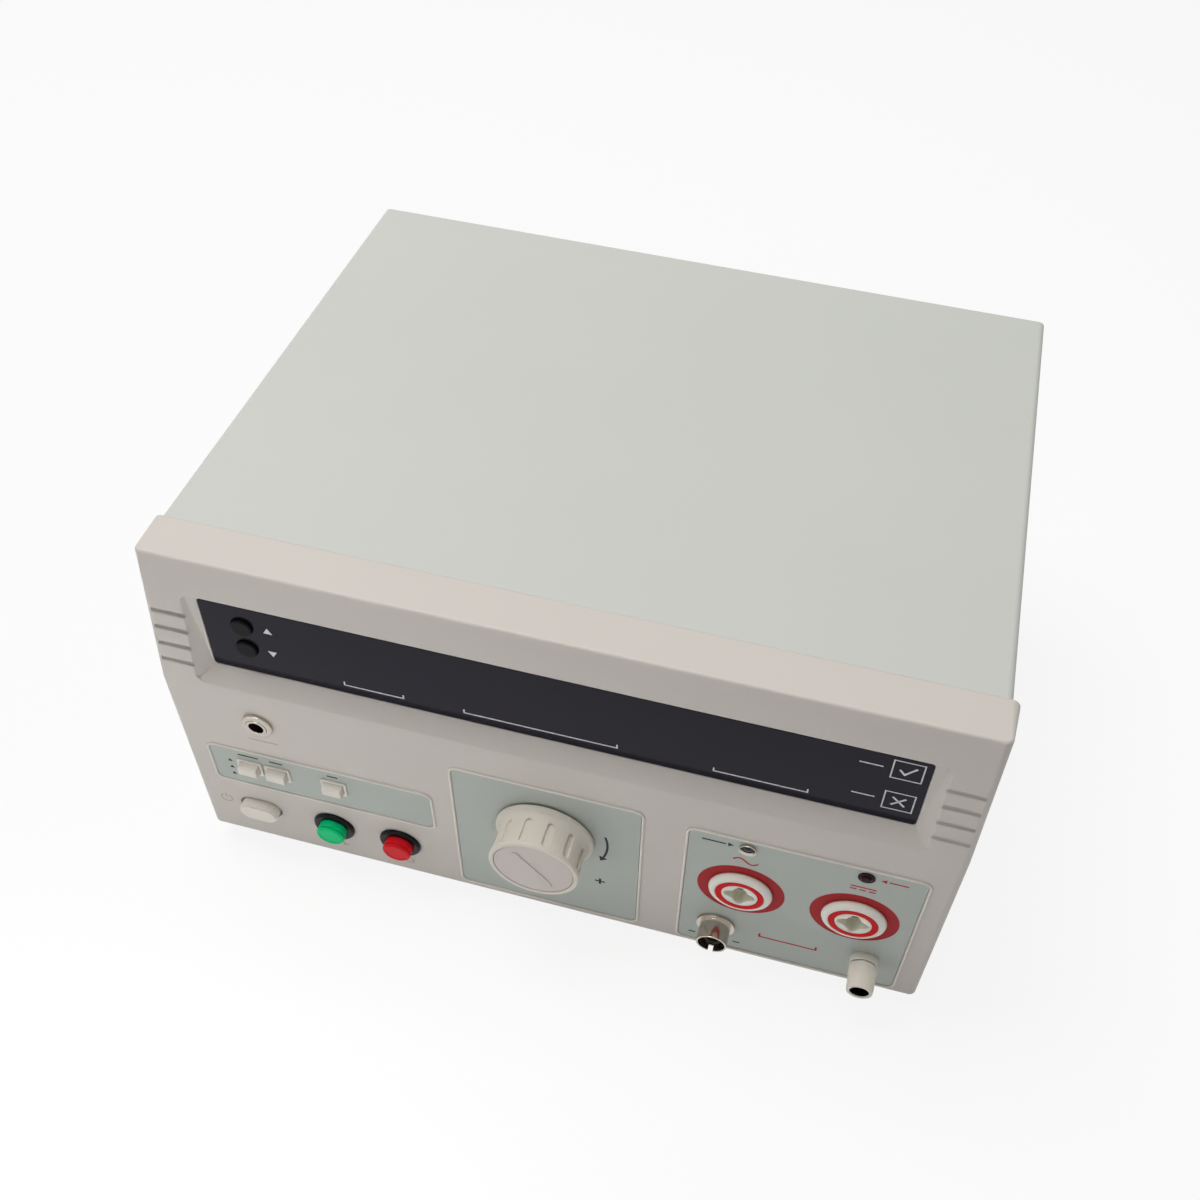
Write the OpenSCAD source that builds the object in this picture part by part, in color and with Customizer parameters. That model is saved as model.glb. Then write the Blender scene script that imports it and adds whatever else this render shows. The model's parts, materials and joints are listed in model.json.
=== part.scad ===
// Bench hipot tester: a moulded front bezel with controls, a folded steel case,
// and the regulating transformer, high-voltage transformer and boards inside it.
// Drawn with y = 0 at the bezel's top front edge and z = 0 at its bottom edge, then
// moved so that the feet stand on z = 0 and the whole box is centred on x and y.

/* [Front bezel] */
// Width of the moulded bezel along its front
bezel_w = 320; // [310:1:340]
// Height of the lower control face, from the bottom edge up to the crease
lower_h = 109.2; // [106:0.1:122]
// Height of the upper display face, from the crease up to the top edge
upper_h = 67; // [62:0.5:80]
// Depth of the bezel along its top
bezel_d = 19.8; // [18.5:0.1:26]
// How far the crease stands in front of the top edge
crease_out = 3.8; // [2:0.1:5]
// How far the bottom edge lies behind the top edge
chin_back = 5.5; // [3:0.1:7]
// Thickness of the front wall behind the control face
bezel_wall = 3; // [2.5:0.1:3.5]
// How much wider the bezel is at its rear, at each side
bezel_flare = 1.4; // [0.6:0.1:2]
// Corner radius of the bezel seen from the front
bezel_corner_r = 3.5; // [2:0.5:6]
// Radius along the top edge, the crease and the bottom edge
bezel_edge_r = 1.2; // [0.8:0.1:3]
// Radius along the front edges at the sides
bezel_side_r = 3; // [1:0.1:4]
// Number of decorative grooves on each side of the display
groove_count = 4; // [2:1:5]
// Spacing of the grooves
groove_pitch = 8.6; // [6:0.1:9]
// Radius of the half-round groove
groove_r = 1.1; // [0.6:0.1:1.5]

/* [Display] */
// Distance from the bezel's side to the display recess
recess_side = 15.8; // [14:0.1:24]
// Distance from the top edge to the recess
recess_top = 17.5; // [12:0.1:20]
// Distance from the crease to the recess
recess_bottom = 2.9; // [2:0.1:6]
// Corner radius of the recess
recess_r = 5; // [2:0.5:8]
// Width of the sloping walls at the sides of the recess
slope_side = 6.2; // [3:0.1:8]
// Height of the sloping ledge below the window
ledge_h = 6.4; // [4:0.1:8]
// Height of the slope above the window
slope_top = 1.6; // [1:0.1:3]
// Depth of the window behind the face at its lower edge
window_sink_low = 5.7; // [4:0.1:7]
// Depth of the window behind the face at its upper edge
window_sink_top = 1.1; // [0.8:0.1:3]
// Thickness of the smoked window
window_t = 3; // [2:0.1:4]
// Wall of the bezel behind the window
window_back = 2; // [1.5:0.1:3]
// Width of a numeric display module
digit_w = 46; // [30:1:52]
// Height of a numeric display module
digit_h = 20; // [14:1:22]
// Thickness of a numeric display module
digit_t = 8; // [6:0.1:9]
// Side of a square status lamp
lamp_box = 10.4; // [8:0.1:11]
// Radius of the setting buttons
set_button_r = 4.3; // [3:0.1:4.8]
// How far the setting buttons stand proud of the window
set_button_out = 1.5; // [1:0.1:3]
// Spacing of the two setting buttons
set_button_pitch = 12.8; // [12:0.1:15]
// Travel of the setting buttons
set_button_travel = 0.8; // [0.4:0.1:1]

/* [Control panels] */
// Thickness of the printed plates
plate_t = 0.8; // [0.6:0.1:1]
// Depth of the pockets that hold the plates
pocket_d = 0.5; // [0.3:0.1:0.6]
// Corner radius of the plates
plate_r = 3; // [1:0.5:5]
// Width of the raised ridge round each plate
ridge_w = 1.1; // [0.8:0.1:2]
// Height of the ridge above the face
ridge_h = 0.7; // [0.5:0.1:1.2]
// Distance from the bezel's left side to the key strip
strip_left = 11.5; // [10:0.5:16]
// Gap between the key strip and the knob panel
strip_gap = 10.8; // [6:0.1:14]
// Height of the key strip
strip_h = 25.1; // [22:0.1:27]
// Distance from the crease to the key strip
strip_down = 41.4; // [38:0.1:44]
// Width of the knob panel
knob_panel_w = 78.1; // [70:0.1:84]
// Distance from the crease to the knob panel
knob_panel_down = 15.8; // [10:0.1:18]
// Distance from the knob panel to the bottom edge
knob_panel_up = 5.1; // [4:0.1:10]
// Distance from the bezel's right side to the output panel
output_right = 10.5; // [8:0.1:14]
// Width of the output panel
output_w = 92.4; // [88:0.1:98]
// Distance from the crease to the output panel
output_down = 17.6; // [12:0.1:19]
// Distance from the output panel to the bottom edge
output_up = 3.8; // [3:0.1:8]

/* [Keys and buttons] */
// Width of a key cap
key_w = 8.4; // [7:0.1:9]
// Height of a key cap
key_h = 6; // [5:0.1:7]
// How far a key stands proud of its face
key_out = 4.2; // [3:0.1:6]
// Travel of a key
key_travel = 2.5; // [1:0.1:3]
// Width of the power button
power_w = 17.6; // [16:0.1:20]
// Height of the power button
power_h = 10.4; // [9:0.1:12]
// Gap round the power button
power_gap = 0.85; // [0.3:0.05:0.95]
// How far the power button stands proud
power_out = 4.2; // [4:0.1:8]
// Travel of the power button
power_travel = 3; // [2:0.1:3.4]
// Radius of the start and stop caps
push_r = 6.3; // [5:0.1:7]
// Radius of the black rings round the start and stop caps
push_ring_r = 9.35; // [9.2:0.05:11]
// How far the start and stop caps stand proud
push_out = 6; // [5:0.1:8]
// Travel of the start and stop buttons
push_travel = 3; // [2:0.1:4]

/* [Regulator] */
// Radius of the knob's flange
knob_flange_r = 20.6; // [19.5:0.1:24]
// Radius of the knob's waist
knob_waist_r = 18.1; // [17.5:0.1:19]
// Radius of the knob's front rim
knob_rim_r = 18.9; // [18:0.1:20]
// Height of the knob above the face
knob_h = 18.2; // [16:0.1:24]
// Number of finger slots round the knob
knob_slots = 12; // [8:1:16]
// Radius of the regulator shaft
shaft_r = 3; // [2.5:0.1:4]
// Outer radius of the regulating coil
coil_r = 46; // [40:1:48]
// Radius of the hole in the regulating coil
coil_hole_r = 24; // [18:1:28]
// Length of the regulating coil
coil_h = 44; // [36:1:52]

/* [Outputs] */
// Spacing of the two high-voltage sockets
socket_pitch = 45.8; // [42:0.1:48]
// Radius of the insulator's flange
socket_flange_r = 13.1; // [12:0.1:15]
// Radius of the insulator's barrel
socket_barrel_r = 9.5; // [8:0.1:10]
// How far the insulator stands proud of its plate
socket_out = 3.1; // [2.5:0.1:5]
// Radius of the bore for the plug
socket_bore_r = 4; // [3.5:0.05:4.2]
// Outer radius of the red ring
ring_r_out = 9.95; // [9:0.05:10.2]
// Inner radius of the red ring
ring_r_in = 7.45; // [7:0.05:8]
// Radius of the control connector's shell
connector_r = 6.5; // [6:0.1:7.2]
// Radius of the control connector's mouth
connector_bore_r = 5.65; // [5.2:0.05:5.8]
// How far the control connector stands proud of its plate
connector_out = 10; // [7:0.1:14]
// Radius of the ground stud
stud_r = 3; // [2.8:0.1:3.4]
// Radius of the ground stud's plug socket
stud_bore_r = 2; // [1.8:0.05:2.2]
// Radius of the ground cap at its base
cap_r = 5.7; // [5.2:0.1:7]
// How far the ground cap stands proud
cap_out = 15.5; // [14:0.1:22]
// Travel of the ground cap when unscrewed
cap_travel = 4; // [2:0.1:4.5]
// Radius of the start jack's bore
jack_bore_r = 3.2; // [3.18:0.01:3.3]
// Radius of the start jack's nut
jack_nut_r = 6.6; // [5.6:0.1:8]

/* [Case] */
// Depth of the sheet-metal cover behind the bezel
cover_d = 234.2; // [225:0.1:280]
// How far the cover lies inside the bezel's rear at each side
cover_inset = 2.6; // [2:0.1:4]
// How far the cover's top lies below the bezel's top
cover_drop = 0.4; // [0.2:0.1:2]
// Thickness of the sheet metal
sheet_t = 1.2; // [0.8:0.1:1.6]
// Outer bend radius of the cover
bend_r = 2.6; // [2:0.1:4]
// Ground clearance given by the feet
foot_h = 12; // [8:0.5:20]
// Radius of a foot at its top
foot_r = 11; // [9:0.5:14]
// Width of a ventilation slot
vent_w = 3; // [2:0.1:4]
// Length of a ventilation slot
vent_len = 40; // [25:1:50]
// Spacing of the ventilation slots
vent_pitch = 9; // [7:0.1:12]
// Number of ventilation slots in a group
vent_count = 9; // [4:1:10]

/* [Hidden] */
$fn = 64;

// Clearances
fit_gap = 0.2;
slide_gap = 0.25;
run_gap = 0.05;
stop_gap = 0.3;
over = 0.05;

// Faces of the bezel
bezel_h = lower_h + upper_h;
half_w = bezel_w / 2;
lower_tilt = atan((crease_out + chin_back) / lower_h);
upper_tilt = atan(crease_out / upper_h);
lower_len = norm([crease_out + chin_back, lower_h]);
bezel_rear_flat = 1;
hull_fn = 32;

// Display recess and window
recess_half = half_w - recess_side;
recess_z0 = lower_h + recess_bottom;
recess_z1 = bezel_h - recess_top;
window_half = recess_half - slope_side;
window_z0 = recess_z0 + ledge_h;
window_z1 = recess_z1 - slope_top;
window_y0 = upper_y(window_z0) + window_sink_low;
window_y1 = upper_y(window_z1) + window_sink_top;
window_tilt = atan((window_y0 - window_y1) / (window_z1 - window_z0));
window_len = norm([window_y0 - window_y1, window_z1 - window_z0]);
window_floor = window_t + window_back;
board_t = 1.6;
board_z = window_t + stop_gap + digit_t;
timer_in = 67.3;
current_mid = -4.3;
voltage_in = 58;
digit_x = [-window_half + timer_in, current_mid, window_half - voltage_in];
digit_drop = 4.5;
digit_up = window_len - digit_h / 2 - digit_drop;
status_in = 8.4;
status_x = window_half - status_in;
status_pitch = 19.1;
status_low = 7.1;
status_up = [window_len / 2 - status_low, window_len / 2 - status_low + status_pitch];
set_in = 16.6;
set_x = -window_half + set_in;
set_low = 4.7;
set_up = [window_len / 2 - set_low, window_len / 2 - set_low + set_button_pitch];
set_flange = 1;
set_stem = 0.5;
set_top = board_z - window_floor - stop_gap - set_flange - set_stem - set_button_travel - stop_gap;
post_x = [-window_half + 5, window_half - 20];
post_r = 2.6;

// Plates as [left, right, top, bottom], measured across and down the lower face
knob_panel_mid = -0.65;
knob_panel = [knob_panel_mid - knob_panel_w / 2, knob_panel_mid + knob_panel_w / 2, knob_panel_down,
    lower_len - knob_panel_up];
strip = [-half_w + strip_left, knob_panel[0] - strip_gap, strip_down, strip_down + strip_h];
output = [half_w - output_right - output_w, half_w - output_right, output_down,
    lower_len - output_up];
plate_top = plate_t - pocket_d;

// Places of the controls, across and down the lower face
key_in = 17.3;
key_steps = [12.6, 25.2];
key_down = 10.9;
key_x = [strip[0] + key_in, strip[0] + key_in + key_steps[0], strip[0] + key_in + key_steps[0] + key_steps[1]];
key_v = strip[2] + key_down;
row_down = 19.5;
row_v = strip[3] + row_down;
power_in = 15.9;
power_x = strip[0] + power_in;
push_in = 50.5;
push_pitch = 30.5;
push_x = [strip[0] + push_in, strip[0] + push_in + push_pitch];
jack_in = 26.9;
jack_up = 23.6;
jack_x = strip[0] + jack_in;
jack_v = strip[2] - jack_up;
knob_off = 0.35;
knob_down = 31.4;
knob_x = (knob_panel[0] + knob_panel[1]) / 2 - knob_off;
knob_v = knob_panel[2] + knob_down;
socket_in = 23.3;
socket_down = 37.4;
socket_x = [output[0] + socket_in, output[0] + socket_in + socket_pitch];
socket_v = output[2] + socket_down;
lamp_down = 5.1;
lamp_v = output[2] + lamp_down;
connector_in = 15.7;
connector_up = 17.8;
connector_x = output[0] + connector_in;
connector_v = output[3] - connector_up;
ground_in = 14.2;
ground_up = 18.9;
ground_x = output[1] - ground_in;
ground_v = output[3] - ground_up;

// Keys and buttons
key_open_w = key_w + 2 * fit_gap;
key_open_h = key_h + 2 * fit_gap;
collar_wall = 0.5;
collar_w = key_open_w + 2 * collar_wall;
collar_h = key_open_h + 2 * collar_wall;
collar_lip = 0.8;
collar_t = 0.9;
key_guide = 6;
key_stem = 3;
switch_z = key_guide + key_stem + key_travel + stop_gap;
switch_len = 13;
switch_w = 8;
key_board_z = switch_z + switch_len;
key_post_r = 2.5;
key_post_out = [10.8, 12.5, 18.8];
key_post_up = 6;
key_post_down = 8;
key_posts = [[key_x[0] - key_post_out[0], key_v - key_post_up],
    [key_x[1] + key_post_out[1], key_v + key_post_down], [power_x + key_post_out[2], row_v + key_post_down]];
key_board_edge = 3.5;
key_board_in = 7;
power_switch = [14, 12];
power_guide = 4;
power_stem = switch_z - power_guide - power_travel - stop_gap;
push_ring_t = 1.8;
push_wall = 1.3;
push_barrel_r = push_r + stop_gap + push_wall;
push_guide = 7;
push_floor = push_guide + push_travel + stop_gap;
push_barrel = push_floor + 4;
push_switch = 12;
nut_t = 4;
nut_wall = 3;

// Regulator
knob_lift = plate_top + 0.6;
knob_edge = 0.4;
knob_cap_r = knob_rim_r - 2.4;
knob_cap_t = 1.4;
knob_cap_sink = 0.2;
knob_wall = 2.1;
knob_top = knob_h - knob_cap_sink - knob_cap_t;
knob_web = 3.6;
hub_r = shaft_r + 3.5;
slot_w = 3;
slot_d = 0.9;
bush_r = shaft_r + 2;
base_gap = 7;
base_z = bezel_wall + base_gap;
base_t = 3;
base_r = coil_r;
base_post_r = 4;
base_post_ring = coil_r - 6;
coil_z = base_z + base_t;
coil_end = coil_z + coil_h;
tube_r = shaft_r + 6;
arm_z = coil_end + 1.5;
arm_t = 4;
brush_h = arm_t + 4;
brush_ring = (coil_r + coil_hole_r) / 2;

// Outputs
socket_barrel = 38;
socket_bore_end = 25;
socket_star_end = 2;
star_mid = socket_bore_r + 1.3;
star_lobe = 1.1;
contact_r = socket_bore_r - 1;
contact_bore_r = contact_r - 1;
contact_len = 11;
ring_t = 1;
connector_flange_r = connector_r + 1.7;
connector_neck_r = connector_r - 0.5;
connector_floor = plate_top + 1.2;
insert_r = connector_bore_r - 0.65;
insert_len = 11;
pin_ring = insert_r * 0.62;
pin_r = 0.9;
ground_base_t = 3.2;
ground_neck_r = stud_r + 1.2;
washer_t = 0.5;
washer_gap = 0.1;
cap_z = plate_top + ground_base_t + washer_t + 2 * washer_gap;
thread_left = 1.5;
cap_thread = cap_travel + thread_left;
cap_mouth_r = stud_r + 1;
stud_front = cap_z + cap_thread + 2;
stud_bore = 12;
stud_rear = 16;
lamp_r = 2.5;
lamp_flange_r = 3.5;
lamp_neck_r = 3.05;
lamp_len = 7;
jack_wall = 1.3;
jack_out = 2.2;
jack_nut_t = 2;
jack_sleeve_len = 12;
jack_body_len = 30;
jack_body_w = 15;

// Case
cover_half = half_w + bezel_flare - cover_inset;
cover_top = bezel_h - cover_drop;
inner_half = cover_half - sheet_t;
inner_top = cover_top - sheet_t;
inner_bend_r = bend_r - sheet_t;
cover_y0 = bezel_d + fit_gap;
cover_y1 = bezel_d + cover_d;
cover_low = 0.6;
tongue_t = 2.2;
tongue_len = 6;
cavity_half = inner_half - fit_gap - tongue_t;
cavity_top = inner_top - fit_gap - tongue_t;
cavity_low = 3;
floor_z = 1;
floor_top = floor_z + sheet_t;
chassis_half = inner_half - stop_gap;
flange_h = 15;
rear_y = cover_y1 - 2;
rear_in = rear_y - sheet_t;
frame_half = cavity_half - stop_gap;
frame_top = cavity_top - stop_gap;
frame_rim = 7.5;
frame_open_down = 16;
frame_open_top = bezel_h - frame_open_down;
frame_open_low = 14;
boss_r = 3.5;
boss_x = cavity_half - boss_r - 0.4;
boss_zs = [frame_open_low - boss_r - 0.6, frame_open_top + boss_r + 1.5];
screw_r = 1.5;
screw_hole_r = screw_r + 0.15;
screw_head_r = 2.8;
screw_head_t = 1.8;
screw_len = 7;
side_screw_in = 30;
side_screw_back = 40;
side_screw_ys = [cover_y0 + side_screw_in, (cover_y0 + cover_y1) / 2, cover_y1 - side_screw_back];
side_screw_z = floor_z + flange_h / 2;
rear_screw_in = [14, 104];
rear_screw_xs = [for (s = [-1, 1], d = rear_screw_in) s * (inner_half - d)];
rear_flange_d = 14;
rear_side_down = 30;
rear_side_z = inner_top - rear_side_down;
foot_in = 30;
foot_back = 24;
foot_xs = [-half_w + foot_in, half_w - foot_in];
foot_ys = [bezel_d + foot_back, cover_y1 - foot_in];
foot_tip_r = foot_r - 1.5;
foot_screw_r = 2;
foot_head_r = 4;
foot_head_t = 2.6;
foot_sink = 5;
foot_nut_r = 4;
foot_nut_t = 3.2;

// Inside the case
xf_w = 96;
xf_h = 80;
xf_stack = 42;
xf_limb = 16;
xf_in = 24;
xf_ahead = 110;
xf_x = inner_half - xf_w / 2 - xf_in;
xf_y = cover_y1 - xf_ahead;
xf_coil_gap = 1;
xf_coil_out = 14;
pcb_w = 96;
pcb_d = 120;
pcb_in = 8;
pcb_ahead = 40;
pcb_x = -inner_half + pcb_w / 2 + pcb_in;
pcb_y = cover_y1 - pcb_d / 2 - pcb_ahead;
pcb_edge = 6;
standoff_h = 8;
standoff_r = 3;
pcb_z = floor_top + standoff_h;
cap_can_r = 11;
cap_can_h = 32;
cap_can_pitch = 30;
cap_can_off = 20;
rect_w = 60;
rect_d = 24;
rect_h = 26;
rect_x = xf_x;
rect_ahead = 62;
rect_y = xf_y - rect_ahead;
inlet_in = 60;
inlet_up = 56;
inlet_x = -inner_half + inlet_in;
inlet_z = floor_top + inlet_up;
inlet_w = 28;
inlet_h = 48;
inlet_flange_t = 3;
inlet_body_w = 25;
inlet_body_h = 44;
inlet_len = 32;
plug_w = 20;
plug_h = 14;
plug_deep = 17;
plug_up = 7.5;
blade_w = 2;
blade_h = 4;
blade_len = 14;
drawer_w = 19;
drawer_h = 8;
drawer_len = 26;
drawer_down = 14;
drawer_lip = 1;
tray_floor = 2.2;
tray_wall = 2;
tray_end = 3;

// Overall placing
front_y = face_y(knob_v) - knob_h * cos(lower_tilt) - (knob_rim_r - knob_edge) * sin(lower_tilt);
back_y = rear_y + inlet_flange_t + drawer_lip;
y_shift = -(front_y + back_y) / 2;

// Where the upper face lies at height z, and the lower face at a distance v down from the crease
function upper_y(z) = -crease_out + (z - lower_h) * tan(upper_tilt);
function lower_y(z) = -crease_out + (lower_h - z) * tan(lower_tilt);
function face_y(v) = -crease_out + v * sin(lower_tilt);

// Arc that rounds the corner p between its neighbours a and b
function unit(v) = v / norm(v);
function turned(v, t) = [v.x * cos(t) - v.y * sin(t), v.x * sin(t) + v.y * cos(t)];
function corner_arc(a, p, b, r, n) =
    let (u = unit(a - p), w = unit(b - p), half = acos(u * w) / 2)
    let (c = p + unit(u + w) * r / sin(half), s = p + u * r / tan(half) - c)
    let (side = u.x * w.y - u.y * w.x > 0 ? -1 : 1, turn = 180 - 2 * half)
    r == 0 ? [p] : [for (i = [0:n]) c + turned(s, side * turn * i / n)];
function rounded(pts, radii, n = 5) =
    let (k = len(pts))
    [for (i = [0:k - 1]) each corner_arc(pts[(i + k - 1) % k], pts[i], pts[(i + 1) % k], radii[i], n)];
function box_points(x0, x1, y0, y1) = [[x0, y0], [x1, y0], [x1, y1], [x0, y1]];

// Frames of the faces: x across, y up the face, z out of it
module placed() translate([0, y_shift, foot_h]) children();
module on_upper(x, up) placed() translate([0, -crease_out, lower_h]) rotate([90 - upper_tilt, 0, 0])
    translate([x, up, 0]) children();
module on_lower(x, v) placed() translate([0, -crease_out, lower_h]) rotate([90 + lower_tilt, 0, 0])
    translate([x, -v, 0]) children();
module on_window(x, up) placed() translate([0, window_y0, window_z0]) rotate([90 + window_tilt, 0, 0])
    translate([x, up, 0]) children();

// Solids that repeat
module along_x(length) rotate([90, 0, 90]) translate([0, 0, -length / 2]) linear_extrude(length) children();
module along_y(y0, y1) translate([0, y1, 0]) rotate([90, 0, 0]) linear_extrude(y1 - y0) children();
module rod(r, z0, z1) translate([0, 0, z0]) cylinder(r = r, h = z1 - z0);
module tube(r_out, r_in, z0, z1) {
    difference() {
        rod(r_out, z0, z1);
        rod(r_in, z0 - over, z1 + over);
    }
}
module block(w, h, z0, z1) translate([-w / 2, -h / 2, z0]) cube([w, h, z1 - z0]);
module slab(x, y, z) translate([x[0], y[0], z[0]]) cube([x[1] - x[0], y[1] - y[0], z[1] - z[0]]);
module round_rect(w, h, r) polygon(rounded(box_points(-w / 2, w / 2, -h / 2, h / 2), [r, r, r, r]));
module stadium(w, h) {
    square([w - h, h], center = true);
    for (s = [-1, 1])
        translate([s * (w - h) / 2, 0])
            circle(d = h);
}
module layer(z0, z1) translate([0, 0, z0]) linear_extrude(z1 - z0) children();
module plate_area(p, grow) {
    r = plate_r + grow;
    polygon(rounded(box_points(p[0] - grow, p[1] + grow, -p[3] - grow, -p[2] + grow), [r, r, r, r]));
}
module hex_nut(hole_r, wall, z0, z1) {
    difference() {
        translate([0, 0, z0])
            cylinder(r = (hole_r + wall) / cos(30), h = z1 - z0, $fn = 6);
        rod(hole_r, z0 - over, z1 + over);
    }
}

// Holes for the controls, through the lower face and its plates
module key_holes() {
    for (x = key_x)
        on_lower(x, key_v)
            block(collar_w + 2 * fit_gap, collar_h + 2 * fit_gap, -bezel_wall - over, plate_t);
}
module regulator_hole() on_lower(knob_x, knob_v) rod(bush_r + fit_gap, -bezel_wall - over, plate_t);
module output_holes() {
    for (x = socket_x) {
        on_lower(x, socket_v)
            rod(socket_barrel_r + fit_gap, -bezel_wall - over, plate_t);
        on_lower(x, lamp_v)
            rod(lamp_neck_r + fit_gap, -bezel_wall - over, plate_t);
    }
    on_lower(connector_x, connector_v)
        rod(connector_neck_r + fit_gap, -bezel_wall - over, plate_t);
    on_lower(ground_x, ground_v)
        rod(ground_neck_r + fit_gap, -bezel_wall - over, plate_t);
}
module left_holes() {
    on_lower(power_x, row_v)
        layer(-bezel_wall - over, over)
            stadium(power_w + 2 * power_gap, power_h + 2 * power_gap);
    for (x = push_x)
        on_lower(x, row_v)
            rod(push_barrel_r + fit_gap, -bezel_wall - over, over);
    on_lower(jack_x, jack_v)
        rod(jack_bore_r + jack_wall + fit_gap, -bezel_wall - over, over);
}

// Bezel: leaning profile, hollow from behind, with a tongue that the cover slips over
module rim_disc(p) translate(p)
    rotate_extrude($fn = hull_fn)
        intersection() {
            translate([bezel_side_r - bezel_edge_r, 0])
                circle(r = bezel_edge_r, $fn = hull_fn);
            translate([0, -bezel_edge_r])
                square([bezel_side_r, 2 * bezel_edge_r]);
        }
module bezel_outline() {
    top_z = bezel_h - bezel_edge_r;
    crease_in = bezel_edge_r / cos((lower_tilt + upper_tilt) / 2);
    crease_turn = (lower_tilt - upper_tilt) / 2;
    rims = [[lower_y(bezel_edge_r) + bezel_edge_r / cos(lower_tilt), bezel_edge_r],
        [crease_in * cos(crease_turn) - crease_out, lower_h + crease_in * sin(crease_turn)],
        [upper_y(top_z) + bezel_edge_r / cos(upper_tilt), top_z]];
    placed()
        hull() {
            for (s = [-1, 1]) {
                for (p = rims)
                    rim_disc([s * (half_w - bezel_side_r), p[0] + bezel_side_r - bezel_edge_r, p[1]]);
                for (z = [bezel_corner_r, bezel_h - bezel_corner_r])
                    translate([s * (half_w + bezel_flare - bezel_corner_r), bezel_d, z])
                        rotate([90, 0, 0])
                            cylinder(r = bezel_corner_r, h = bezel_rear_flat, $fn = hull_fn);
            }
        }
}
module bezel_cavity() {
    back = bezel_d + over;
    slope = tan(window_tilt);
    shelf_z = lower_h - 2;
    shelf_y = lower_y(shelf_z) + bezel_wall / cos(lower_tilt);
    wall_y = window_y0 + window_floor / cos(window_tilt);
    step_y = (wall_y + slope * (window_z0 - shelf_z + shelf_y)) / (1 + slope);
    inner = [[back, cavity_low], [lower_y(cavity_low) + bezel_wall / cos(lower_tilt), cavity_low],
        [shelf_y, shelf_z], [step_y, shelf_z + step_y - shelf_y],
        [wall_y - slope * (cavity_top - window_z0), cavity_top], [back, cavity_top]];
    along_x(2 * cavity_half)
        polygon(inner);
}
module bezel_tongue() {
    difference() {
        along_y(bezel_d - over, bezel_d + tongue_len)
            inside_cover(cavity_low);
        slab([-cavity_half, cavity_half], [0, bezel_d + tongue_len + 1], [0, cavity_top]);
    }
}
module display_recess() {
    up0 = recess_bottom / cos(upper_tilt);
    rise = (recess_z1 - recess_z0) / cos(upper_tilt);
    front = -crease_out - 2;
    flare = slope_side / window_sink_low;
    intersection() {
        placed()
            along_x(2 * recess_half)
                polygon([[upper_y(recess_z1), recess_z1], [window_y1, window_z1], [window_y0, window_z0],
                    [upper_y(recess_z0), recess_z0], [front, recess_z0], [front, recess_z1]]);
        on_upper(0, up0 + rise / 2)
            rotate([90, 0, 0])
                linear_extrude(2 * rise, center = true)
                    polygon([[-recess_half - flare, 1], [recess_half + flare, 1],
                        [window_half, -window_sink_low], [-window_half, -window_sink_low]]);
        on_upper(0, up0 + rise / 2)
            layer(-2 * window_sink_low, 2)
                round_rect(2 * recess_half, rise, recess_r);
    }
}
module window_openings() {
    floor_x = [digit_x[0] - digit_w / 2 - 2, digit_x[2] + digit_w / 2 + 2];
    on_window(0, window_len / 2)
        layer(-window_t, 0)
            round_rect(2 * window_half, window_len, 1.5);
    on_window((floor_x[0] + floor_x[1]) / 2, digit_up)
        block(floor_x[1] - floor_x[0], digit_h + 4, -window_floor - over, 0);
    on_window(status_x, window_len / 2)
        block(lamp_box + 2, window_len - 4, -window_floor - over, 0);
    for (up = set_up)
        on_window(set_x, up)
            rod(set_button_r + slide_gap, -window_floor - over, 0);
}
module side_grooves() {
    first = recess_z0 + 9 - lower_h;
    reach = recess_side - 2.5 + slope_side;
    for (s = [-1, 1], i = [0:groove_count - 1])
        on_upper(s * (recess_half - slope_side + reach / 2), first + i * groove_pitch)
            rotate([0, 90, 0])
                rod(groove_r, -reach / 2, reach / 2);
}
module bezel_posts() {
    for (x = post_x, up = [5, window_len - 5])
        on_window(x, up)
            rod(post_r, -board_z, -window_floor + over);
    for (p = key_posts)
        on_lower(p[0], p[1])
            rod(key_post_r, -key_board_z, -bezel_wall + over);
    for (a = [90, 210, 330])
        on_lower(knob_x + base_post_ring * cos(a), knob_v - base_post_ring * sin(a))
            rod(base_post_r, -base_z, -bezel_wall + over);
    for (s = [-1, 1], z = boss_zs)
        placed()
            translate([s * boss_x, 0, z])
                rotate([-90, 0, 0])
                    rod(boss_r, (z > lower_h ? upper_y(z) : lower_y(z)) + 2, bezel_d);
}
module front_bezel() color("#c9c3bc") {
    plates = [strip, knob_panel, output];
    difference() {
        union() {
            difference() {
                bezel_outline();
                placed()
                    bezel_cavity();
            }
            placed()
                bezel_tongue();
            for (p = plates)
                on_lower(0, 0)
                    layer(-1, ridge_h)
                        plate_area(p, ridge_w);
            bezel_posts();
        }
        for (p = plates)
            on_lower(0, 0)
                layer(-pocket_d, ridge_h + over)
                    plate_area(p, 0);
        display_recess();
        window_openings();
        side_grooves();
        key_holes();
        regulator_hole();
        output_holes();
        left_holes();
        for (s = [-1, 1], z = boss_zs)
            placed()
                translate([s * boss_x, 0, z])
                    rotate([-90, 0, 0])
                        rod(screw_hole_r, bezel_d - screw_len, bezel_d + over);
    }
}

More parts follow.
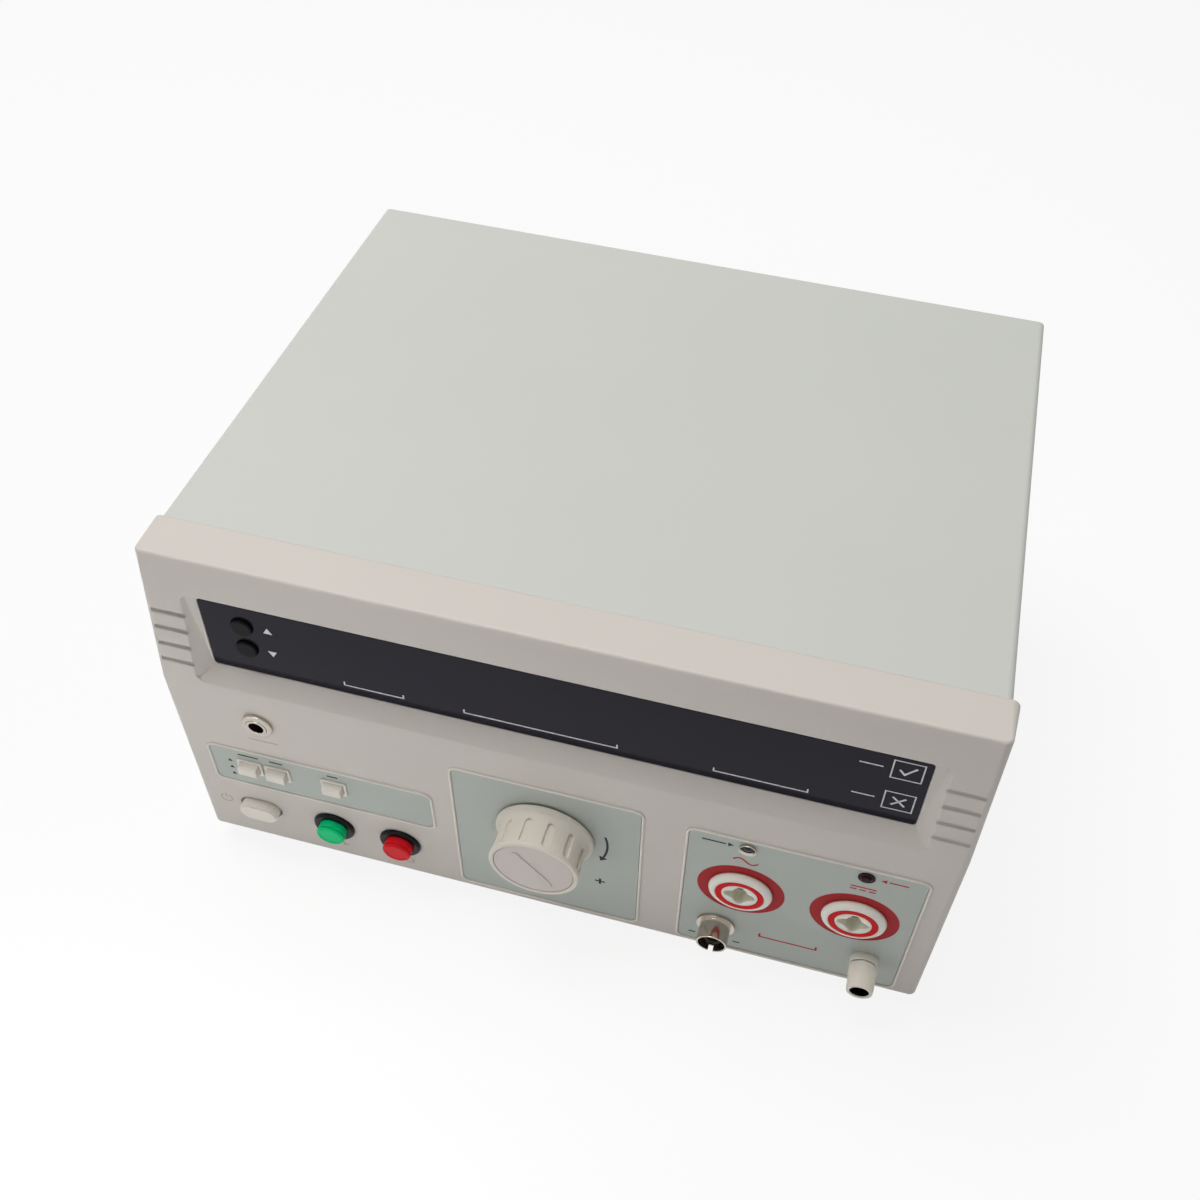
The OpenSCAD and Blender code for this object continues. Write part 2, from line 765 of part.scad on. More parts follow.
// Display
module display_window() color("#2c2b33") {
    difference() {
        on_window(0, window_len / 2)
            layer(-window_t, 0)
                round_rect(2 * (window_half - fit_gap), window_len - 2 * fit_gap, 1.3);
        for (up = set_up)
            on_window(set_x, up)
                rod(set_button_r + slide_gap, -window_t - over, over);
    }
}
module display_board() color("#2f6b3c") {
    on_window(0, window_len / 2)
        block(2 * window_half - 4, window_len - 2, -board_z - board_t, -board_z);
}
module digit_module(x, colour) color(colour) {
    on_window(x, digit_up) {
        block(digit_w, digit_h, -board_z, -window_t - stop_gap - 0.8);
        block(digit_w - 1.6, digit_h - 1.6, -board_z, -window_t - stop_gap);
    }
}
module timer_digits() digit_module(digit_x[0], "#3a2323");
module current_digits() digit_module(digit_x[1], "#3a2323");
module voltage_digits() digit_module(digit_x[2], "#3a2323");
module status_lamps() color("#d9d4c8") {
    for (up = status_up)
        on_window(status_x, up)
            block(lamp_box, lamp_box, -board_z, -window_t - stop_gap);
}
module setting_switches() color("#26262a") {
    for (up = set_up)
        on_window(set_x, up)
            block(6, 6, -board_z, -board_z + set_top);
}
module set_button(up) color("#17171a") {
    back = window_floor + stop_gap;
    on_window(set_x, up) {
        rod(set_button_r, -back - over, set_button_out - 0.4);
        translate([0, 0, set_button_out - 0.4])
            cylinder(r1 = set_button_r, r2 = set_button_r - 0.5, h = 0.4);
        rod(set_button_r + 1, -back - set_flange, -back);
        rod(1.6, -back - set_flange - set_stem, -back - set_flange + over);
    }
}
module up_button() set_button(set_up[1]);
module down_button() set_button(set_up[0]);

// Key strip
module strip_plate() color("#919c94") {
    difference() {
        on_lower(0, 0)
            layer(-pocket_d, plate_top)
                plate_area(strip, -fit_gap);
        key_holes();
    }
}
module key_collars() color("#d6d2c6") {
    for (x = key_x)
        on_lower(x, key_v)
            difference() {
                union() {
                    block(collar_w, collar_h, -bezel_wall - 1, plate_top + over);
                    layer(plate_top, plate_top + collar_t)
                        round_rect(collar_w + 2 * collar_lip, collar_h + 2 * collar_lip, 1);
                }
                block(key_open_w, key_open_h, -bezel_wall - 2, plate_top + collar_t + over);
            }
}
module key(x) color("#dcd8cc") {
    crown = 1.4;
    on_lower(x, key_v) {
        along_x(key_w)
            polygon(rounded(box_points(-key_h / 2, key_h / 2, -key_guide, key_out), [0, 0, crown, crown]));
        block(key_stem, key_stem, -key_guide - key_stem, -key_guide + over);
    }
}
module current_range_key() key(key_x[0]);
module output_type_key() key(key_x[1]);
module timer_key() key(key_x[2]);
module key_board() color("#2f6b3c") {
    x0 = key_posts[0].x - key_board_edge;
    x1 = key_x[2] + key_board_in;
    x2 = key_posts[2].x + key_board_edge;
    v0 = key_posts[0].y - key_board_edge;
    v1 = key_posts[1].y + key_board_edge;
    v2 = key_posts[2].y + key_board_edge;
    on_lower(0, 0)
        layer(-key_board_z - board_t, -key_board_z)
            polygon([[x0, -v0], [x1, -v0], [x1, -v1], [x2, -v1], [x2, -v2], [x0, -v2]]);
}
module panel_switches() color("#2b2b2f") {
    for (x = key_x)
        on_lower(x, key_v)
            block(switch_w, switch_w, -key_board_z, -switch_z);
    on_lower(power_x, row_v)
        block(power_switch[0], power_switch[1], -key_board_z, -switch_z);
    for (x = push_x)
        on_lower(x, row_v)
            block(push_switch, push_switch, -push_barrel - push_switch, -push_barrel);
}

// Power, start and stop buttons
module power_button() color("#cdc8be") {
    on_lower(power_x, row_v) {
        layer(-power_guide, power_out - 0.8)
            stadium(power_w, power_h);
        layer(power_out - 0.8 - over, power_out)
            stadium(power_w - 1.2, power_h - 1.2);
        block(6, 4, -power_guide - power_stem, -power_guide + over);
    }
}
module push_ring(x) color("#1d1d20") {
    on_lower(x, row_v)
        difference() {
            union() {
                rod(push_barrel_r, -push_barrel, over);
                rod(push_ring_r, 0, push_ring_t - 0.8);
                translate([0, 0, push_ring_t - 0.8])
                    cylinder(r1 = push_ring_r, r2 = push_ring_r - 0.8, h = 0.8);
            }
            rod(push_r + stop_gap, -push_floor, push_ring_t + over);
        }
}
module push_cap(x, colour) color(colour) {
    groove = 0.25;
    on_lower(x, row_v) {
        rod(push_r, -push_guide, push_out - 1.2);
        rod(push_r - groove, push_out - 1.2 - over, push_out - 0.9 + over);
        rod(push_r, push_out - 0.9, push_out - 0.4);
        translate([0, 0, push_out - 0.4])
            cylinder(r1 = push_r, r2 = push_r - 0.4, h = 0.4);
    }
}
module start_ring() push_ring(push_x[0]);
module stop_ring() push_ring(push_x[1]);
module start_button() push_cap(push_x[0], "#12b56c");
module stop_button() push_cap(push_x[1], "#cf2a38");
module panel_nuts() color("#29292c") {
    for (x = push_x)
        on_lower(x, row_v)
            hex_nut(push_barrel_r + fit_gap, nut_wall, -bezel_wall - nut_t, -bezel_wall);
    for (x = socket_x)
        on_lower(x, socket_v)
            hex_nut(socket_barrel_r + fit_gap, nut_wall, -bezel_wall - nut_t, -bezel_wall);
}

// Regulator
module knob_plate() color("#919c94") {
    difference() {
        on_lower(0, 0)
            layer(-pocket_d, plate_top)
                plate_area(knob_panel, -fit_gap);
        regulator_hole();
    }
}
module knob_profile() {
    waist_low = knob_lift + 0.3 * knob_h;
    waist_high = 0.62 * knob_h;
    seat = knob_cap_r + fit_gap;
    wall_r = knob_waist_r - knob_wall;
    bore = shaft_r + run_gap;
    shaft_top = knob_top - 1.4;
    polygon([[knob_flange_r, knob_lift], [knob_flange_r, knob_lift + 1.7],
        [knob_waist_r + 1.2, knob_lift + 2.7], [knob_waist_r + 0.2, waist_low],
        [knob_waist_r, waist_high], [knob_rim_r - 0.4, knob_h - 2.4], [knob_rim_r, knob_h - 1],
        [knob_rim_r - knob_edge, knob_h], [seat, knob_h], [seat, knob_top], [0, knob_top],
        [0, shaft_top], [bore, shaft_top], [bore, knob_lift + 2], [hub_r, knob_lift + 2],
        [hub_r, knob_top - knob_web], [wall_r, knob_top - knob_web], [wall_r, knob_lift]]);
}
module regulator_knob() color("#d3cec3") {
    slot_z = [knob_lift + 5, knob_h - 1.6];
    on_lower(knob_x, knob_v)
        difference() {
            rotate_extrude()
                knob_profile();
            for (i = [0:knob_slots - 1])
                rotate([0, 0, (i + 0.5) * 360 / knob_slots])
                    translate([knob_waist_r - slot_d, 0, (slot_z[0] + slot_z[1]) / 2])
                        rotate([0, 90, 0])
                            linear_extrude(knob_flange_r)
                                stadium(slot_z[1] - slot_z[0], slot_w);
        }
}
module knob_cap() color("#d9d4ca") {
    on_lower(knob_x, knob_v)
        rod(knob_cap_r, knob_top, knob_h - knob_cap_sink);
}
module regulator_shaft() color("#b9bcc0") {
    on_lower(knob_x, knob_v)
        rod(shaft_r, -arm_z - brush_h - 2, knob_top - 1.6);
}
module brush_arm() color("#8d6b3a") {
    on_lower(knob_x, knob_v)
        rotate([0, 0, -110])
            difference() {
                union() {
                    rod(tube_r - 1, -arm_z - brush_h, -arm_z);
                    translate([brush_ring / 2, 0, 0])
                        block(brush_ring + 6, 10, -arm_z - brush_h, -arm_z - brush_h + arm_t);
                    translate([brush_ring, 0, 0])
                        block(6, 8, -arm_z - brush_h, -coil_end - stop_gap);
                }
                rod(shaft_r + run_gap, -arm_z - brush_h - over, -arm_z + over);
            }
}
module variac_base() color("#9a9da0") {
    on_lower(knob_x, knob_v)
        difference() {
            union() {
                rod(base_r, -coil_z, -base_z);
                rod(tube_r, -coil_end - 1, -base_z);
                rod(bush_r, -base_z - over, plate_top);
            }
            rod(shaft_r + run_gap, -coil_end - 2, plate_top + over);
        }
}
module variac_coil() color("#a8683a") {
    r = 5;
    on_lower(knob_x, knob_v)
        rotate_extrude()
            polygon(rounded(box_points(coil_hole_r, coil_r, -coil_end, -coil_z), [r, r, r, r]));
}

// Outputs
module output_plate() color("#919c94") {
    difference() {
        on_lower(0, 0)
            layer(-pocket_d, plate_top)
                plate_area(output, -fit_gap);
        output_holes();
    }
}
module star_hollow() {
    steps = 48;
    polygon([for (i = [0:steps - 1])
        let (a = i * 360 / steps) (star_mid + star_lobe * cos(4 * a)) * [cos(a), sin(a)]]);
}
module socket_profile() {
    base = plate_top;
    face = plate_top + socket_out;
    polygon([[0, -socket_barrel], [socket_barrel_r, -socket_barrel], [socket_barrel_r, base],
        [socket_flange_r - 0.5, base], [socket_flange_r, base + 0.3 * socket_out],
        [socket_flange_r - 0.5, base + 0.68 * socket_out], [socket_flange_r - 1.6, base + 0.92 * socket_out],
        [socket_flange_r - 2.6, face], [0, face]]);
}
module hv_socket(x) color("#efece4") {
    face = plate_top + socket_out;
    on_lower(x, socket_v)
        difference() {
            rotate_extrude()
                socket_profile();
            tube(ring_r_out + run_gap, ring_r_in - run_gap, face - ring_t, face + over);
            layer(-socket_star_end, face + over)
                star_hollow();
            rod(socket_bore_r, -socket_bore_end, -socket_star_end + over);
            rod(contact_r + run_gap, -socket_bore_end - contact_len, -socket_bore_end + over);
        }
}
module ac_socket() hv_socket(socket_x[0]);
module dc_socket() hv_socket(socket_x[1]);
module socket_rings() color("#d11f2a") {
    face = plate_top + socket_out;
    for (x = socket_x)
        on_lower(x, socket_v)
            tube(ring_r_out, ring_r_in, face - ring_t, face);
}
module socket_contacts() color("#c9a24a") {
    for (x = socket_x)
        on_lower(x, socket_v)
            tube(contact_r, contact_bore_r, -socket_bore_end - contact_len, -socket_bore_end);
}
module control_connector() color("#c8cacc") {
    front = plate_top + connector_out;
    on_lower(connector_x, connector_v)
        difference() {
            union() {
                rod(connector_neck_r, -insert_len - 1, plate_top + over);
                rod(connector_flange_r, plate_top, plate_top + 1.5);
                rod(connector_r, plate_top + 1.5 - over, front);
            }
            rod(connector_bore_r, connector_floor, front + over);
            rod(insert_r + run_gap, -insert_len - 2, connector_floor + over);
            translate([0, -connector_r, 0])
                block(2, 2 * (connector_r - connector_bore_r) + 0.8, front - 2.5, front + over);
        }
}
module connector_insert() color("#1b1b1d") {
    on_lower(connector_x, connector_v)
        difference() {
            rod(insert_r, -insert_len, connector_floor);
            for (i = [0:4])
                rotate([0, 0, 90 + i * 72])
                    translate([pin_ring, 0, 0])
                        rod(pin_r, connector_floor - 6, connector_floor + over);
        }
}
module ground_base() color("#cfcbc0") {
    on_lower(ground_x, ground_v)
        difference() {
            union() {
                rod(cap_r, plate_top, plate_top + ground_base_t);
                rod(ground_neck_r, -bezel_wall - 1, plate_top + over);
            }
            rod(stud_r + run_gap, -bezel_wall - 2, plate_top + ground_base_t + over);
        }
}
module ground_stud() color("#c9a24a") {
    on_lower(ground_x, ground_v)
        difference() {
            rod(stud_r, -stud_rear, stud_front);
            rod(stud_bore_r, stud_front - stud_bore, stud_front + over);
        }
}
module ground_washer() color("#c8cacc") {
    z0 = plate_top + ground_base_t + washer_gap;
    on_lower(ground_x, ground_v)
        tube(cap_r - 0.5, stud_r + run_gap, z0, z0 + washer_t);
}
module ground_cap() color("#cfcbc0") {
    on_lower(ground_x, ground_v)
        difference() {
            translate([0, 0, cap_z])
                cylinder(r1 = cap_r, r2 = cap_r - 0.35, h = cap_out - cap_z);
            rod(stud_r + run_gap, cap_z - over, cap_z + cap_thread + over);
            rod(cap_mouth_r, cap_z + cap_thread, cap_out + over);
        }
}
module safety_lamp_holder() color("#c8cacc") {
    on_lower(socket_x[0], lamp_v)
        difference() {
            union() {
                rod(lamp_neck_r, -bezel_wall - 2, plate_top + over);
                rod(lamp_flange_r, plate_top, plate_top + 1.2);
            }
            rod(lamp_r + run_gap, -bezel_wall - 3, plate_top + over);
            translate([0, 0, plate_top])
                cylinder(r1 = lamp_r + run_gap, r2 = lamp_flange_r - 0.3, h = 1.2 + over);
        }
}
module safety_lamp() color("#d8d8d4") {
    on_lower(socket_x[0], lamp_v) {
        rod(lamp_r, -lamp_len, plate_top);
        translate([0, 0, plate_top - 1.6])
            intersection() {
                sphere(r = lamp_r);
                rod(lamp_r, 1.5, lamp_r);
            }
    }
}
module danger_lamp() color("#6b1216") {
    on_lower(socket_x[1], lamp_v) {
        rod(lamp_neck_r, -lamp_len, plate_top + over);
        rod(lamp_flange_r - 0.2, plate_top, plate_top + 0.6);
        translate([0, 0, plate_top + 0.6 - over])
            cylinder(r1 = lamp_r, r2 = lamp_r - 0.9, h = 0.9);
    }
}
module jack_sleeve() color("#c8cacc") {
    on_lower(jack_x, jack_v)
        tube(jack_bore_r + jack_wall, jack_bore_r, -jack_sleeve_len, jack_out);
}
module jack_nut() color("#c8cacc") {
    on_lower(jack_x, jack_v)
        difference() {
            union() {
                rod(jack_nut_r, 0, jack_nut_t - 0.6);
                translate([0, 0, jack_nut_t - 0.6])
                    cylinder(r1 = jack_nut_r, r2 = jack_nut_r - 0.6, h = 0.6);
            }
            rod(jack_bore_r + jack_wall + run_gap, -over, jack_nut_t + over);
        }
}
module jack_body() color("#202023") {
    on_lower(jack_x, jack_v)
        difference() {
            block(jack_body_w, jack_body_w, -jack_body_len, -bezel_wall);
            rod(jack_bore_r + jack_wall + run_gap, -jack_sleeve_len, -bezel_wall + over);
            rod(jack_bore_r - 0.2, -jack_body_len + 3, -jack_sleeve_len + over);
        }
}

// Case
module foot_spots() {
    for (x = foot_xs, y = foot_ys)
        placed()
            translate([x, y, 0])
                children();
}
module side_screw_spots() {
    for (s = [-1, 1], y = side_screw_ys)
        placed()
            translate([s * cover_half, y, side_screw_z])
                rotate([0, s * 90, 0])
                    children();
    for (s = [-1, 1])
        placed()
            translate([s * cover_half, rear_in - rear_flange_d / 2, rear_side_z])
                rotate([0, s * 90, 0])
                    children();
}
module rear_screw_spots() {
    for (x = rear_screw_xs)
        placed()
            translate([x, rear_y, side_screw_z])
                rotate([-90, 0, 0])
                    children();
}
module bezel_screw_spots() {
    for (s = [-1, 1], z = boss_zs)
        placed()
            translate([s * boss_x, bezel_d + sheet_t, z])
                rotate([-90, 0, 0])
                    children();
}
module chassis_base() color("#b4b8b6") {
    side_y = [bezel_d + tongue_len + 1, rear_in];
    difference() {
        placed()
            union() {
                slab([-chassis_half, chassis_half], [bezel_d, rear_in], [floor_z, floor_top]);
                for (s = [-1, 1])
                    translate([s * (chassis_half - sheet_t / 2), 0, 0])
                        slab([-sheet_t / 2, sheet_t / 2], side_y, [floor_z, floor_z + flange_h]);
                slab([-frame_half, frame_half], [rear_in - sheet_t, rear_in], [floor_z, floor_z + flange_h]);
                difference() {
                    slab([-frame_half, frame_half], [bezel_d, bezel_d + sheet_t], [floor_z, frame_top]);
                    slab([-frame_half + frame_rim, frame_half - frame_rim],
                        [bezel_d - 1, bezel_d + 2 * sheet_t], [frame_open_low, frame_open_top]);
                }
                for (x = [-1, 1], y = [-1, 1])
                    translate([pcb_x + x * (pcb_w / 2 - pcb_edge), pcb_y + y * (pcb_d / 2 - pcb_edge), 0])
                        rod(standoff_r, floor_z, pcb_z);
            }
        foot_spots()
            rod(foot_screw_r + fit_gap, floor_z - over, floor_top + over);
        side_screw_spots()
            rod(screw_hole_r, -screw_len, over);
        rear_screw_spots()
            rod(screw_hole_r, -screw_len, over);
        bezel_screw_spots()
            rod(screw_hole_r, -2 * sheet_t, over);
    }
}
module cover_section() {
    difference() {
        polygon(rounded(box_points(-cover_half, cover_half, cover_low, cover_top), [0, 0, bend_r, bend_r]));
        polygon(rounded(box_points(-inner_half, inner_half, cover_low - 1, inner_top),
            [0, 0, inner_bend_r, inner_bend_r]));
    }
}
module inside_cover(low) {
    half = inner_half - fit_gap;
    polygon(rounded(box_points(-half, half, low, inner_top - fit_gap), [0, 0, inner_bend_r, inner_bend_r]));
}
module vent_group(count) {
    for (i = [0:count - 1])
        translate([(i - (count - 1) / 2) * vent_pitch, 0])
            rotate(90)
                stadium(vent_len, vent_w);
}
module top_cover() color("#c5c8bf") {
    vent_y = cover_y1 - 80;
    vent_z = floor_top + 62;
    difference() {
        placed()
            along_y(cover_y0, cover_y1)
                cover_section();
        placed()
            translate([0, vent_y, vent_z])
                along_x(bezel_w)
                    vent_group(vent_count);
        side_screw_spots()
            rod(screw_hole_r, -screw_len, over);
    }
}
module rear_panel() color("#c5c8bf") {
    flange_x = inner_half - fit_gap - sheet_t / 2;
    flange_z = [floor_z + flange_h + 1, inner_top - fit_gap - inner_bend_r];
    difference() {
        placed()
            union() {
                along_y(rear_in, rear_y)
                    inside_cover(floor_top + fit_gap);
                for (s = [-1, 1])
                    translate([s * flange_x, 0, 0])
                        slab([-sheet_t / 2, sheet_t / 2], [rear_in - rear_flange_d, rear_in + over], flange_z);
            }
        placed()
            translate([inlet_x, 0, inlet_z])
                slab([-inlet_body_w / 2 - fit_gap, inlet_body_w / 2 + fit_gap], [rear_in - over, rear_y + over],
                    [-inlet_body_h / 2 - fit_gap, inlet_body_h / 2 + fit_gap]);
        placed()
            translate([inner_half - 80, 0, (floor_top + inner_top) / 2])
                along_y(rear_in - over, rear_y + over)
                    vent_group(vent_count);
        rear_screw_spots()
            rod(screw_hole_r, -screw_len, over);
        side_screw_spots()
            rod(screw_hole_r, -screw_len, over);
    }
}
module rubber_feet() color("#2a2a2c") {
    foot_spots()
        difference() {
            translate([0, 0, -foot_h])
                cylinder(r1 = foot_tip_r, r2 = foot_r, h = foot_h + floor_z);
            rod(foot_head_r + 0.6, -foot_h - over, -foot_h + foot_sink);
            rod(foot_screw_r + fit_gap, -foot_h, floor_z + over);
        }
}
module foot_screws() color("#b9bcc0") {
    foot_spots() {
        rod(foot_screw_r, -foot_h + foot_sink - over, floor_top + foot_nut_t + 1);
        rod(foot_head_r, -foot_h + foot_sink - foot_head_t, -foot_h + foot_sink);
        translate([0, 0, floor_top])
            cylinder(r = foot_nut_r, h = foot_nut_t, $fn = 6);
    }
}
module pan_screw() {
    rod(screw_r, -screw_len, over);
    rod(screw_head_r, 0, screw_head_t - 0.6);
    translate([0, 0, screw_head_t - 0.6])
        cylinder(r1 = screw_head_r, r2 = screw_head_r - 0.8, h = 0.6);
}
module case_screws() color("#b9bcc0") {
    side_screw_spots()
        pan_screw();
    rear_screw_spots()
        pan_screw();
    bezel_screw_spots()
        pan_screw();
}

// Inside the case
module transformer_core() color("#6d7073") {
    window_w = (xf_w - 4 * xf_limb) / 2;
    placed()
        translate([xf_x, xf_y, floor_top])
            difference() {
                slab([-xf_w / 2, xf_w / 2], [-xf_stack / 2, xf_stack / 2], [0, xf_h]);
                for (s = [-1, 1])
                    translate([s * (xf_limb + window_w / 2), 0, 0])
                        slab([-window_w / 2, window_w / 2], [-xf_stack, xf_stack], [xf_limb, xf_h - xf_limb]);
            }
}
module transformer_coils() color("#b98b3c") {
    window_w = (xf_w - 4 * xf_limb) / 2;
    out = xf_limb + window_w - xf_coil_gap;
    deep = xf_stack / 2 + xf_coil_out;
    placed()
        translate([xf_x, xf_y, floor_top + xf_limb + stop_gap])
            difference() {
                linear_extrude(xf_h - 2 * xf_limb - 2 * stop_gap)
                    round_rect(2 * out, 2 * deep, 6);
                slab([-xf_limb - stop_gap, xf_limb + stop_gap],
                    [-xf_stack / 2 - stop_gap, xf_stack / 2 + stop_gap], [-1, xf_h]);
            }
}
module main_board() color("#2f6b3c") {
    placed()
        translate([pcb_x, pcb_y, pcb_z])
            block(pcb_w, pcb_d, 0, board_t);
}
module filter_capacitors() color("#23262e") {
    for (s = [-1, 1])
        placed()
            translate([pcb_x + cap_can_off, pcb_y + s * cap_can_pitch / 2 - cap_can_off, pcb_z + board_t])
                rod(cap_can_r, 0, cap_can_h);
}
module hv_rectifier() color("#3b3f45") {
    placed()
        translate([rect_x, rect_y, floor_top])
            linear_extrude(rect_h)
                round_rect(rect_w, rect_d, 3);
}
module mains_inlet() color("#1c1c1f") {
    plug = box_points(-plug_w / 2, plug_w / 2, -plug_h / 2, plug_h / 2);
    placed()
        translate([inlet_x, rear_y, inlet_z]) {
            difference() {
                union() {
                    along_y(0, inlet_flange_t)
                        round_rect(inlet_w, inlet_h, 2);
                    along_y(-inlet_len, over)
                        square([inlet_body_w, inlet_body_h], center = true);
                }
                translate([0, 0, plug_up])
                    along_y(inlet_flange_t - plug_deep, inlet_flange_t + over)
                        polygon(rounded(plug, [4, 4, 1, 1]));
                translate([0, 0, -drawer_down])
                    along_y(inlet_flange_t - drawer_len - stop_gap, inlet_flange_t + over)
                        square([drawer_w + 2 * slide_gap, drawer_h + 2 * slide_gap], center = true);
            }
            for (p = [[-7, -1.5], [0, 2.5], [7, -1.5]])
                translate([p.x, 0, plug_up + p.y])
                    along_y(inlet_flange_t - plug_deep - over, inlet_flange_t - plug_deep + blade_len)
                        square([blade_w, blade_h], center = true);
        }
}
module fuse_drawer() color("#26262a") {
    placed()
        translate([inlet_x, rear_y + inlet_flange_t, inlet_z - drawer_down])
            difference() {
                union() {
                    along_y(-drawer_len, over)
                        square([drawer_w, drawer_h], center = true);
                    along_y(0, drawer_lip)
                        square([drawer_w, drawer_h], center = true);
                }
                translate([0, 0, tray_floor])
                    along_y(-drawer_len + tray_end, -tray_end)
                        square([drawer_w - 2 * tray_wall, drawer_h], center = true);
            }
}

front_bezel();
display_window();
display_board();
timer_digits();
current_digits();
voltage_digits();
status_lamps();
setting_switches();
up_button();
down_button();
strip_plate();
key_collars();
current_range_key();
output_type_key();
timer_key();
key_board();
panel_switches();
power_button();
start_ring();
start_button();
stop_ring();
stop_button();
panel_nuts();
knob_plate();
regulator_knob();
knob_cap();
regulator_shaft();
brush_arm();
variac_base();
variac_coil();
output_plate();
ac_socket();
dc_socket();
socket_rings();
socket_contacts();
control_connector();
connector_insert();
ground_base();
ground_stud();
ground_washer();
ground_cap();
safety_lamp_holder();
safety_lamp();
danger_lamp();
jack_sleeve();
jack_nut();
jack_body();
chassis_base();
top_cover();
rear_panel();
rubber_feet();
foot_screws();
case_screws();
transformer_core();
transformer_coils();
main_board();
filter_capacitors();
hv_rectifier();
mains_inlet();
fuse_drawer();
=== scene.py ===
"""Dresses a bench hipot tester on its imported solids: softened pieces, printed marks, screws and finishes."""

import json
import logging
import math
from dataclasses import dataclass, field
from enum import Enum

import bmesh
import bpy
from mathutils import Matrix, Vector

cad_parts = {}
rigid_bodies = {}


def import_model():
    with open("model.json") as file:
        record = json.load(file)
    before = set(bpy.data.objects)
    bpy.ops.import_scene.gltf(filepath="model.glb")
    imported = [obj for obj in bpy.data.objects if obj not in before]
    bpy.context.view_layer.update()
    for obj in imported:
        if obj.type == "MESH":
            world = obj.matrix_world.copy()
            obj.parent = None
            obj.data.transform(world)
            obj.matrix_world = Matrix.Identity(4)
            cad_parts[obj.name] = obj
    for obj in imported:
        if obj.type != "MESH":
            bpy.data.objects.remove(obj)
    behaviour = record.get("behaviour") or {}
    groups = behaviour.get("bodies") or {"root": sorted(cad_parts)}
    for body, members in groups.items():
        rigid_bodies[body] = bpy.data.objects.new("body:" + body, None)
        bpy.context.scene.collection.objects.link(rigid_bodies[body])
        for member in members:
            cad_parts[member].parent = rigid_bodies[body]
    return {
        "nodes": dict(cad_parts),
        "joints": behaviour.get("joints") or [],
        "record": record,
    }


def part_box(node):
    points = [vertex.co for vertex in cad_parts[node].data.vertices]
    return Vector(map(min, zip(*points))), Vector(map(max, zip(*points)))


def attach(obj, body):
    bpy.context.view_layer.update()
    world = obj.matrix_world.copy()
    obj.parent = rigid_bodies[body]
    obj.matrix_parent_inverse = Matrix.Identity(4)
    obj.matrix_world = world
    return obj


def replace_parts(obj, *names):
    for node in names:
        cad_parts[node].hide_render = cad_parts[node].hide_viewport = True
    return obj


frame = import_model()

MM = 0.001
LOG = logging.getLogger("tester")
# Distance under which two corners count as one, and slack in comparing heights, both in millimetres.
JOIN = 0.002
SLACK = 0.01
# Height of the plates' fronts above the control face in millimetres.
PLATE_LIFT = 0.3
# Cosine to a face's normal under which another face counts as a wall on it.
WALL = 0.5
# Angles in degrees: faces closer than FLAT are one face, edges sharper than SMOOTH stay sharp.
FLAT = 0.4
SMOOTH = 35.0
BODY_OF = {node: body for body, nodes in frame["record"]["behaviour"]["bodies"].items() for node in nodes}
JOINTS = {joint["name"]: joint for joint in frame["joints"]}
Point2 = tuple[float, float]
Point3 = tuple[float, float, float]
# What a node's input takes: a socket to link, the name of a size, or a plain value.
Value = bpy.types.NodeSocket | str | float


class Grain(Enum):
    """Fine relief of a surface, as its grain size and its depth in millimetres."""

    MOULDED = (0.5, 0.012)
    POWDER = (1.3, 0.02)
    FILM = (0.6, 0.006)
    SATIN = (0.8, 0.006)
    GLOSS = (6.0, 0.012)
    RUBBER = (0.7, 0.03)
    BOARD = (1.5, 0.02)
    METAL = (0.35, 0.004)


# Grains per metre and levels of detail, for the colour and for the roughness.
MOTTLE_NOISE = (14.0, 3.0)
ROUGH_NOISE = (120.0, 2.0)
GRAIN_DETAIL = 2.0
# How far the roughness varies, how strong the relief is, and how rough a clear coat is.
ROUGH_SPREAD = 0.12
BUMP = 0.6
COAT_ROUGH = 0.05
# Share of light that goes into a translucent plastic, and how far each colour goes.
SCATTER_SHARE = 0.6
SCATTER_REACH = (1.0, 0.85, 0.65)
EDGE_SAMPLES = 6


def linear(rgb: tuple[int, int, int], factor: float = 1.0) -> tuple[float, float, float, float]:
    """Turns screen values into a linear colour.

    Args:
        rgb: Red, green and blue from 0 to 255.
        factor: What the linear colour is multiplied by.

    Returns:
        Red, green, blue and an alpha of 1.
    """
    parts = []
    for value in rgb:
        c = value / 255
        c = c / 12.92 if c <= 0.04045 else ((c + 0.055) / 1.055) ** 2.4
        parts.append(min(c * factor, 1.0))
    return (*parts, 1.0)


def wire(tree: bpy.types.NodeTree, node: bpy.types.Node, inputs: dict) -> None:
    """Fills a node's inputs.

    Args:
        tree: The tree that holds the node.
        node: The node.
        inputs: By name or number, a socket to link, a list of such sockets, or a plain value.
    """
    for key, value in inputs.items():
        sockets = value if isinstance(value, list) else [value]
        for each in sockets:
            if isinstance(each, bpy.types.NodeSocket):
                tree.links.new(each, node.inputs[key])
            else:
                node.inputs[key].default_value = each


def add_node(tree: bpy.types.NodeTree, kind: str, inputs: dict, **settings: object) -> bpy.types.Node:
    """Adds a node.

    Args:
        tree: The tree that it goes into.
        kind: Its type.
        inputs: What its inputs take, as for wire.
        **settings: Its own settings.

    Returns:
        The node.
    """
    node = tree.nodes.new(kind)
    for key, value in settings.items():
        setattr(node, key, value)
    wire(tree, node, inputs)
    return node


